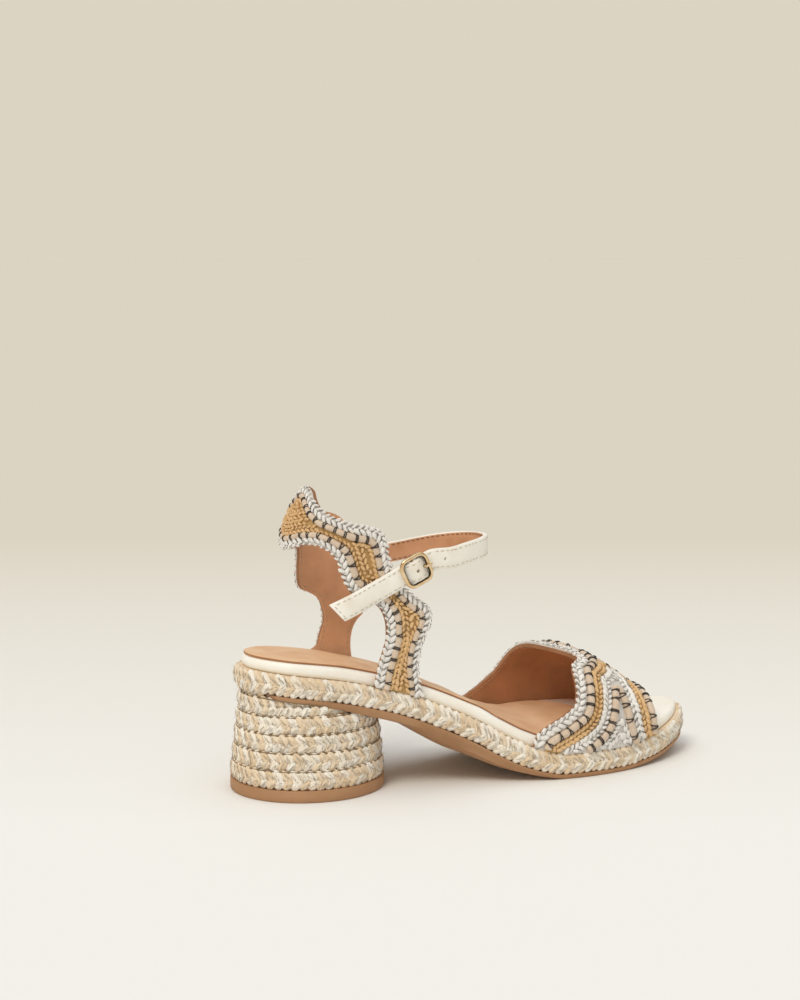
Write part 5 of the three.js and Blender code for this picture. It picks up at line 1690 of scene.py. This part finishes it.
# Strap and buckle
STRAP_OUT = 0.8 + 0.6 + STRAP_THICKNESS / 2
BUCKLE_CENTRE = np.array([
    BUCKLE_X,
    -(BAND_HALF_WIDTH * float(band_width(0.52)) + STRAP_OUT + 1.9),
    SEAT + BAND_HEIGHT * BUCKLE_HEIGHT,
])
FORWARD = np.array([math.cos(BUCKLE_ANGLE), 0, math.sin(BUCKLE_ANGLE)])
OUTWARD = np.array([0.0, -1.0, 0.0])
ACROSS = np.array([-math.sin(BUCKLE_ANGLE), 0, math.cos(BUCKLE_ANGLE)])


def in_buckle(along, out, across=0.0):
    return BUCKLE_CENTRE + BAR * (along * FORWARD + out * OUTWARD + across * ACROSS)


def on_band(x, z, out):
    """A point over the outer side of the heel band."""
    width = BAND_HALF_WIDTH * float(band_width((z - SEAT) / BAND_HEIGHT))
    back = max(BAND_REAR + BAND_REAR_LENGTH - x, 0) / (BAND_REAR_LENGTH + out)
    return np.array([x, -(width + out) * math.sqrt(1 - back * back), z])


def band_front(side, height):
    """Front edge of the heel band at a height."""
    low, high = 6.0, 14.0
    for _ in range(24):
        middle = (low + high) / 2
        station = middle if side < 0 else 2 * BAND_ROWS - middle
        if band_edge(station, 1)[1] < height:
            low = middle
        else:
            high = middle
    station = low if side < 0 else 2 * BAND_ROWS - low
    return band_point(band_edge(station, 1)[0], height)[0]


def smooth_path(points, steps):
    """A smooth path through points, spaced by the square root of their distances."""
    points = np.array(points, float)
    padded = np.concatenate([[2 * points[0] - points[1]], points, [2 * points[-1] - points[-2]]])
    result = []
    for i in range(1, len(padded) - 2):
        p0, p1, p2, p3 = padded[i - 1 : i + 3]
        d0, d1, d2 = (math.sqrt(np.linalg.norm(b - a)) for a, b in ((p0, p1), (p1, p2), (p2, p3)))
        m1 = ((p1 - p0) / d0 - (p2 - p0) / (d0 + d1) + (p2 - p1) / d1) * d1
        m2 = ((p2 - p1) / d1 - (p3 - p1) / (d1 + d2) + (p3 - p2) / d2) * d1
        for k in range(steps):
            t = k / steps
            a, b = 2 * p1 - 2 * p2 + m1 + m2, -3 * p1 + 3 * p2 - 2 * m1 - m2
            result.append(a * t**3 + b * t**2 + m1 * t + p1)
    result.append(padded[-2])
    return np.array(result)


def strap_points(waved=True):
    start_z = SEAT + STRAP_START * BAND_HEIGHT
    start_y = BAND_HALF_WIDTH * float(band_width(STRAP_START)) - WALL / 2
    start_x = band_front(1, start_z) + 0.6
    points = [(start_x, start_y, start_z), (start_x + 10.2, start_y, start_z + 1.22)]
    for along, across, height in STRAP_LOOP:
        points.append((along * STRAP_REACH, across * STRAP_HALF_WIDTH, SEAT + height * BAND_HEIGHT))
    for along, out in STRAP_IN_BUCKLE:
        points.append(in_buckle(along, out if waved else STRAP_IN_BUCKLE[0][1]))
    for back, down in STRAP_TAIL:
        x = BUCKLE_X - back * STRAP_WIDTH
        points.append(on_band(x, BUCKLE_CENTRE[2] - down * STRAP_WIDTH, STRAP_OUT))
    return points


def flat_section(centre, tangent, across, width, thickness, corner=0.55):
    """Section of a strap from its inner face round to its outer face, with rounded edges."""
    out = np.cross(across, tangent)
    out /= np.linalg.norm(out) + 1e-9
    points = []
    half, depth = width / 2, thickness / 2
    for w, n in (
        (-half + corner, -depth), (-half / 3, -depth), (half / 3, -depth), (half - corner, -depth),
        (half - 0.15, -depth + 0.3), (half, 0), (half - 0.15, depth - 0.3), (half - corner, depth),
        (half / 3, depth + 0.12), (-half / 3, depth + 0.12), (-half + corner, depth),
        (-half + 0.15, depth - 0.3), (-half, 0), (-half + 0.15, -depth + 0.3),
    ):
        points.append(centre + across * w + out * n)
    return np.array(points), out


class SANDAL_OT_strap(bpy.types.Operator):
    """Makes the ankle strap with its stitching and holes, and the tab that holds the buckle"""

    bl_idname = "sandal.strap"
    bl_label = "Ankle strap"

    def execute(self, context):
        colours, sizes = settings()
        steps = 8
        path = smooth_path(strap_points(), steps)
        guide = smooth_path(strap_points(False), steps)
        cream = grained_leather(
            "Strap cream leather", tuple(colours.cream), linear("#F0EADE"), 0.8, 0.42, 0.05
        )
        tan = grained_leather(
            "Strap lining leather", tuple(colours.tan), linear("#C08A63"), 1.1, 0.5, 0.08
        )
        sections, frames = [], []
        for k in range(len(path)):
            lie = guide[min(k + 1, len(path) - 1)] - guide[max(k - 1, 0)]
            lie /= np.linalg.norm(lie)
            flat = np.array([-lie[1], lie[0], 0])
            if np.dot(flat, path[k] - np.array([65, 0, 0])) < 0:
                flat = -flat
            across = np.cross(lie, flat)
            across /= np.linalg.norm(across)
            if across[2] < 0:
                across = -across
            tangent = path[min(k + 1, len(path) - 1)] - path[max(k - 1, 0)]
            tangent /= np.linalg.norm(tangent)
            section, out = flat_section(path[k], tangent, across, STRAP_WIDTH, STRAP_THICKNESS)
            if np.dot(out, flat) < 0:
                section, out = flat_section(path[k], tangent, -across, STRAP_WIDTH, STRAP_THICKNESS)
            sections.append(section)
            frames.append((path[k], tangent, across, out))
        for i, corner in enumerate(sections[0].copy()):
            shift = band_front(1, corner[2]) + 0.6 - corner[0]
            for k in range(steps):
                sections[k][i][0] += shift * (1 - k / steps)
        _, tangent, across, _ = frames[-1]
        for k in range(4):
            for corner in sections[-1 - k]:
                height = np.dot(corner - frames[-1 - k][0], across)
                corner += tangent * STRAP_TAIL_SLANT * height * (1 - k / 4)
        inner_faces = [1, 1, 1, 0, 0, 0, 0, 0, 0, 0, 0, 0, 0, 0]
        strap = swept_piece("ankle_strap_leather", sections, cream, slots=inner_faces, materials=[cream, tan])
        self.punch(strap, path)
        dress(strap, "cream_leather", "ankle_strap")

        for label, side, colour in (("outer", 1, "#D8CFBE"), ("inner", -1, "#8A6248")):
            places = Places()
            for edge in (-1, 1):
                run = 0.0
                for k in range(3, len(path) - 3):
                    run += np.linalg.norm(path[k] - path[k - 1])
                    if run >= sizes.seam_pitch:
                        run -= sizes.seam_pitch
                        here, along, over, out = frames[k]
                        spot = here + over * edge * (STRAP_WIDTH / 2 - 1.35)
                        spot = spot + out * side * (STRAP_THICKNESS / 2 + 0.02)
                        places.add(spot, along, out * side)
            end, along, over, out = frames[-1]
            for shift in (-2.5, 0, 2.5):
                spot = end + over * shift + along * (STRAP_TAIL_SLANT * shift - 1.5)
                spot = spot + out * side * (STRAP_THICKNESS / 2 + 0.02)
                places.add(spot, over + along * STRAP_TAIL_SLANT, out * side)
            shape = strand_shape("seam", 1.9, 0.55, 0.45, sides=6, rings=4, blunt=0.35)
            thread = waxed_thread(f"Strap {label} thread", linear(colour), 0.7)
            slot = "cream_leather" if side > 0 else "tan_leather"
            dress(repeated_piece(f"ankle_strap_{label}_seam", places, shape, thread), slot)
            drop(shape)

        points = smooth_path([in_buckle(*row) for row in TAB_PATH], 8)
        sections = []
        for k in range(len(points)):
            tangent = points[min(k + 1, len(points) - 1)] - points[max(k - 1, 0)]
            tangent /= np.linalg.norm(tangent)
            section, out = flat_section(points[k], tangent, ACROSS, 8.0, 1.5, 0.4)
            sections.append(section)
        for i, corner in enumerate(sections[-1].copy()):
            shift = band_front(-1, corner[2]) + 0.6 - corner[0]
            for k in range(8):
                sections[-1 - k][i][0] += shift * (1 - k / 8)
        tab = swept_piece("buckle_tab_leather", sections, cream)
        dress(tab, "cream_leather", "buckle_tab")
        return {"FINISHED"}

    @staticmethod
    def punch(strap, path):
        """Punches the buckle holes through the strap."""
        cutters = []
        for reach in (0.0, 4.4, 16.6):
            target = BUCKLE_X + reach * math.cos(BUCKLE_ANGLE)
            lateral = [p for p in path if p[1] < -20]
            middle = min(lateral, key=lambda p: abs(p[0] - target))
            ring = []
            for depth in (-3.0, 3.0):
                for s in range(16):
                    turn = 2 * math.pi * s / 16
                    offset = 0.85 * (FORWARD * math.cos(turn) + ACROSS * math.sin(turn))
                    ring.append(middle + offset + OUTWARD * depth)
            faces = ring_faces(0, 16, 16)
            faces += [tuple(range(16)), tuple(range(31, 15, -1))]
            cutters.append(mesh_piece("punch", ring, faces, [strap.data.materials[0]]))
        for cutter in cutters:
            modifier = strap.modifiers.new("Punch", "BOOLEAN")
            modifier.operation = "DIFFERENCE"
            modifier.solver = "EXACT"
            modifier.object = cutter
        depsgraph = bpy.context.evaluated_depsgraph_get()
        mesh = bpy.data.meshes.new_from_object(strap.evaluated_get(depsgraph), depsgraph=depsgraph)
        strap.modifiers.clear()
        strap.data = mesh
        mesh.polygons.foreach_set("use_smooth", [True] * len(mesh.polygons))
        mesh.set_sharp_from_angle(angle=math.radians(45))
        for cutter in cutters:
            bpy.data.objects.remove(cutter)


class SANDAL_OT_buckle(bpy.types.Operator):
    """Makes the gold buckle frame with its centre bar, and the prong"""

    bl_idname = "sandal.buckle"
    bl_label = "Buckle"

    def execute(self, context):
        colours = settings()[0]
        gold = polished_gold(colours)
        half_length, half_width = (BUCKLE_LENGTH - BAR_WIDTH) / 2, (BUCKLE_WIDTH - BAR_WIDTH) / 2
        sections = []
        for x, y, start in ((1, 1, 0), (-1, 1, 1), (-1, -1, 2), (1, -1, 3)):
            for k in range(11):
                turn = math.pi / 2 * (start + k / 10)
                outward = FORWARD * math.cos(turn) + ACROSS * math.sin(turn)
                centre = (
                    BUCKLE_CENTRE
                    + FORWARD * x * (half_length - BUCKLE_CORNER)
                    + ACROSS * y * (half_width - BUCKLE_CORNER)
                    + outward * BUCKLE_CORNER
                )
                sections.append(self.bar(centre, outward, OUTWARD, BAR_WIDTH / 2, BAR / 2))
        # The inward faces of the frame's bars take a dark copy of the gold: painted shade.
        shade = polished_gold(colours, "Gold plate painted shade", "#40301F", 0.14)
        slots = [int(5 <= s <= 10) for s in range(16)]
        rim = swept_piece("frame_rim", sections, gold, closed=True, slots=slots, materials=[gold, shade])
        reach = half_width / BAR
        row = smooth_path([
            in_buckle(0, 0, -reach), in_buckle(0, -0.55, -reach + 0.5),
            in_buckle(0, -0.89, -reach + 1.1), in_buckle(0, -0.89, 0),
            in_buckle(0, -0.89, reach - 1.1), in_buckle(0, -0.55, reach - 0.5),
            in_buckle(0, 0, reach),
        ], 6)
        middle = self.rod("centre_bar", row, 0.45 * BAR, gold)
        dress(joined("buckle_frame_gold", [rim, middle]), "gold_metal", "buckle_frame")
        path = smooth_path([in_buckle(*spot) for spot in PRONG_PATH], 8)
        dress(self.rod("buckle_prong_gold", path, 0.62, gold, 0.6), "gold_metal", "buckle_prong")
        return {"FINISHED"}

    @staticmethod
    def bar(centre, first, second, width, depth, sides=16):
        """Section of a bar between round and square, as a cast and tumbled one is."""
        points = []
        for s in range(sides):
            turn = 2 * math.pi * s / sides
            c, t = math.cos(turn), math.sin(turn)
            points.append(
                centre
                + first * width * math.copysign(abs(c) ** 0.75, c)
                + second * depth * math.copysign(abs(t) ** 0.75, t)
            )
        return np.array(points)

    def rod(self, name, path, radius, material, tip=1.0):
        sections = []
        for k, here in enumerate(path):
            tangent = path[min(k + 1, len(path) - 1)] - path[max(k - 1, 0)]
            tangent /= np.linalg.norm(tangent)
            side = ACROSS if abs(np.dot(tangent, ACROSS)) < 0.7 else FORWARD
            side = side - tangent * np.dot(tangent, side)
            side /= np.linalg.norm(side)
            share = k / (len(path) - 1)
            size = radius * (tip + (1 - tip) * min(1, 4 * (1 - share)))
            sections.append(self.bar(here, side, np.cross(tangent, side), size, size, 12))
        return swept_piece(name, sections, material)


class SANDAL_OT_stage(bpy.types.Operator):
    """Makes the studio floor, the lights and the camera"""

    bl_idname = "sandal.stage"
    bl_label = "Stage"

    def execute(self, context):
        colours = settings()[0]
        yaw, pitch = 0.4052, 0.1235
        back = (math.sin(yaw), math.cos(yaw), 0)
        material, tree, shader = new_material("Studio floor paint")
        spot = object_space(tree)
        length = node_in(tree, "ShaderNodeVectorMath", {0: spot}, operation="LENGTH").outputs["Value"]
        depth = node_in(tree, "ShaderNodeVectorMath", {0: spot, 1: back}, operation="DOT_PRODUCT")
        behind = ranged(tree, depth.outputs["Value"], -0.1, 0.8)
        far = node_in(
            tree,
            "ShaderNodeMapRange",
            {"Value": length, "From Min": 0.7, "From Max": 1.2},
            interpolation_type="SMOOTHSTEP",
        )
        turned = node_in(tree, "ShaderNodeMath", {0: behind, 1: far.outputs["Result"]}, operation="MAXIMUM")
        floor, sweep = tuple(colours.floor), tuple(colours.sweep)
        tree.links.new(mixed(tree, turned.outputs["Value"], floor, sweep), shader.inputs["Base Color"])
        shader.inputs["Roughness"].default_value = 0.95
        shader.inputs["Specular IOR Level"].default_value = 0.0
        mesh = bpy.data.meshes.new("studio_floor")
        reach = 60.0
        mesh.from_pydata(
            [(-reach, -reach, 0), (reach, -reach, 0), (reach, reach, 0), (-reach, reach, 0)],
            [],
            [(0, 1, 2, 3)],
        )
        mesh.materials.append(material)
        finished_object("studio_floor", mesh)

        world = bpy.data.worlds.new("Studio air")
        world.use_nodes = True
        air = world.node_tree
        around = node_in(air, "ShaderNodeTexCoord").outputs["Generated"]
        height = node_in(air, "ShaderNodeSeparateXYZ", {0: around}).outputs["Z"]
        dim = tuple(0.4 * c for c in colours.wall)
        low = mixed(air, ranged(air, height, 0.3, 0.42), tuple(colours.wall), dim)
        sky = mixed(air, ranged(air, height, 0.62, 0.8), low, (1.06, 1.07, 1.07, 1))
        air.links.new(sky, air.nodes["Background"].inputs["Color"])
        bpy.context.scene.world = world

        sun = bpy.data.lights.new("Key light", "SUN")
        sun.energy = 1.12
        sun.color = (1.0, 0.93, 0.8)
        sun.angle = math.radians(22)
        lamp = bpy.data.objects.new("Key light", sun)
        where = Vector((-0.62, -0.5, 0.95))
        lamp.location = where
        lamp.rotation_euler = (-where).to_track_quat("-Z", "Y").to_euler()
        bpy.context.scene.collection.objects.link(lamp)

        view = bpy.data.cameras.new("Photo camera")
        view.lens = 72.08
        view.sensor_width = 36
        view.clip_end = 200
        camera = bpy.data.objects.new("Photo camera", view)
        camera.location = place((-293.1, -878.1, 253.5))
        forward = Vector((
            math.sin(yaw) * math.cos(pitch),
            math.cos(yaw) * math.cos(pitch),
            -math.sin(pitch),
        ))
        camera.rotation_euler = forward.to_track_quat("-Z", "Y").to_euler()
        bpy.context.scene.collection.objects.link(camera)
        bpy.context.scene.camera = camera
        bpy.context.scene.view_settings.view_transform = "Standard"
        return {"FINISHED"}


class SANDAL_PT_panel(bpy.types.Panel):
    """Lists the sandal's pieces, sizes and colours."""

    bl_label = "Sandal"
    bl_idname = "SANDAL_PT_panel"
    bl_space_type = "VIEW_3D"
    bl_region_type = "UI"
    bl_category = "Sandal"

    def draw(self, context):
        layout = self.layout
        for operator in OPERATORS:
            layout.operator(operator.bl_idname)
        for group in (context.scene.sandal_sizes, context.scene.sandal_colours):
            column = layout.column()
            for name in group.__annotations__:
                column.prop(group, name)


OPERATORS = (
    SANDAL_OT_heel, SANDAL_OT_sole, SANDAL_OT_jute_edge, SANDAL_OT_vamp, SANDAL_OT_heel_band,
    SANDAL_OT_strap, SANDAL_OT_buckle, SANDAL_OT_stage,
)
CLASSES = (SANDAL_PG_colours, SANDAL_PG_sizes, *OPERATORS, SANDAL_PT_panel)


def register():
    for kind in CLASSES:
        bpy.utils.register_class(kind)
    bpy.types.Scene.sandal_colours = bpy.props.PointerProperty(type=SANDAL_PG_colours)
    bpy.types.Scene.sandal_sizes = bpy.props.PointerProperty(type=SANDAL_PG_sizes)


def unregister():
    del bpy.types.Scene.sandal_sizes
    del bpy.types.Scene.sandal_colours
    for kind in reversed(CLASSES):
        bpy.utils.unregister_class(kind)


def main():
    register()
    bpy.ops.sandal.heel()
    bpy.ops.sandal.sole()
    bpy.ops.sandal.jute_edge()
    bpy.ops.sandal.vamp()
    bpy.ops.sandal.heel_band()
    bpy.ops.sandal.strap()
    bpy.ops.sandal.buckle()
    bpy.ops.sandal.stage()
    bpy.context.view_layer.update()


if __name__ == "__main__":
    main()
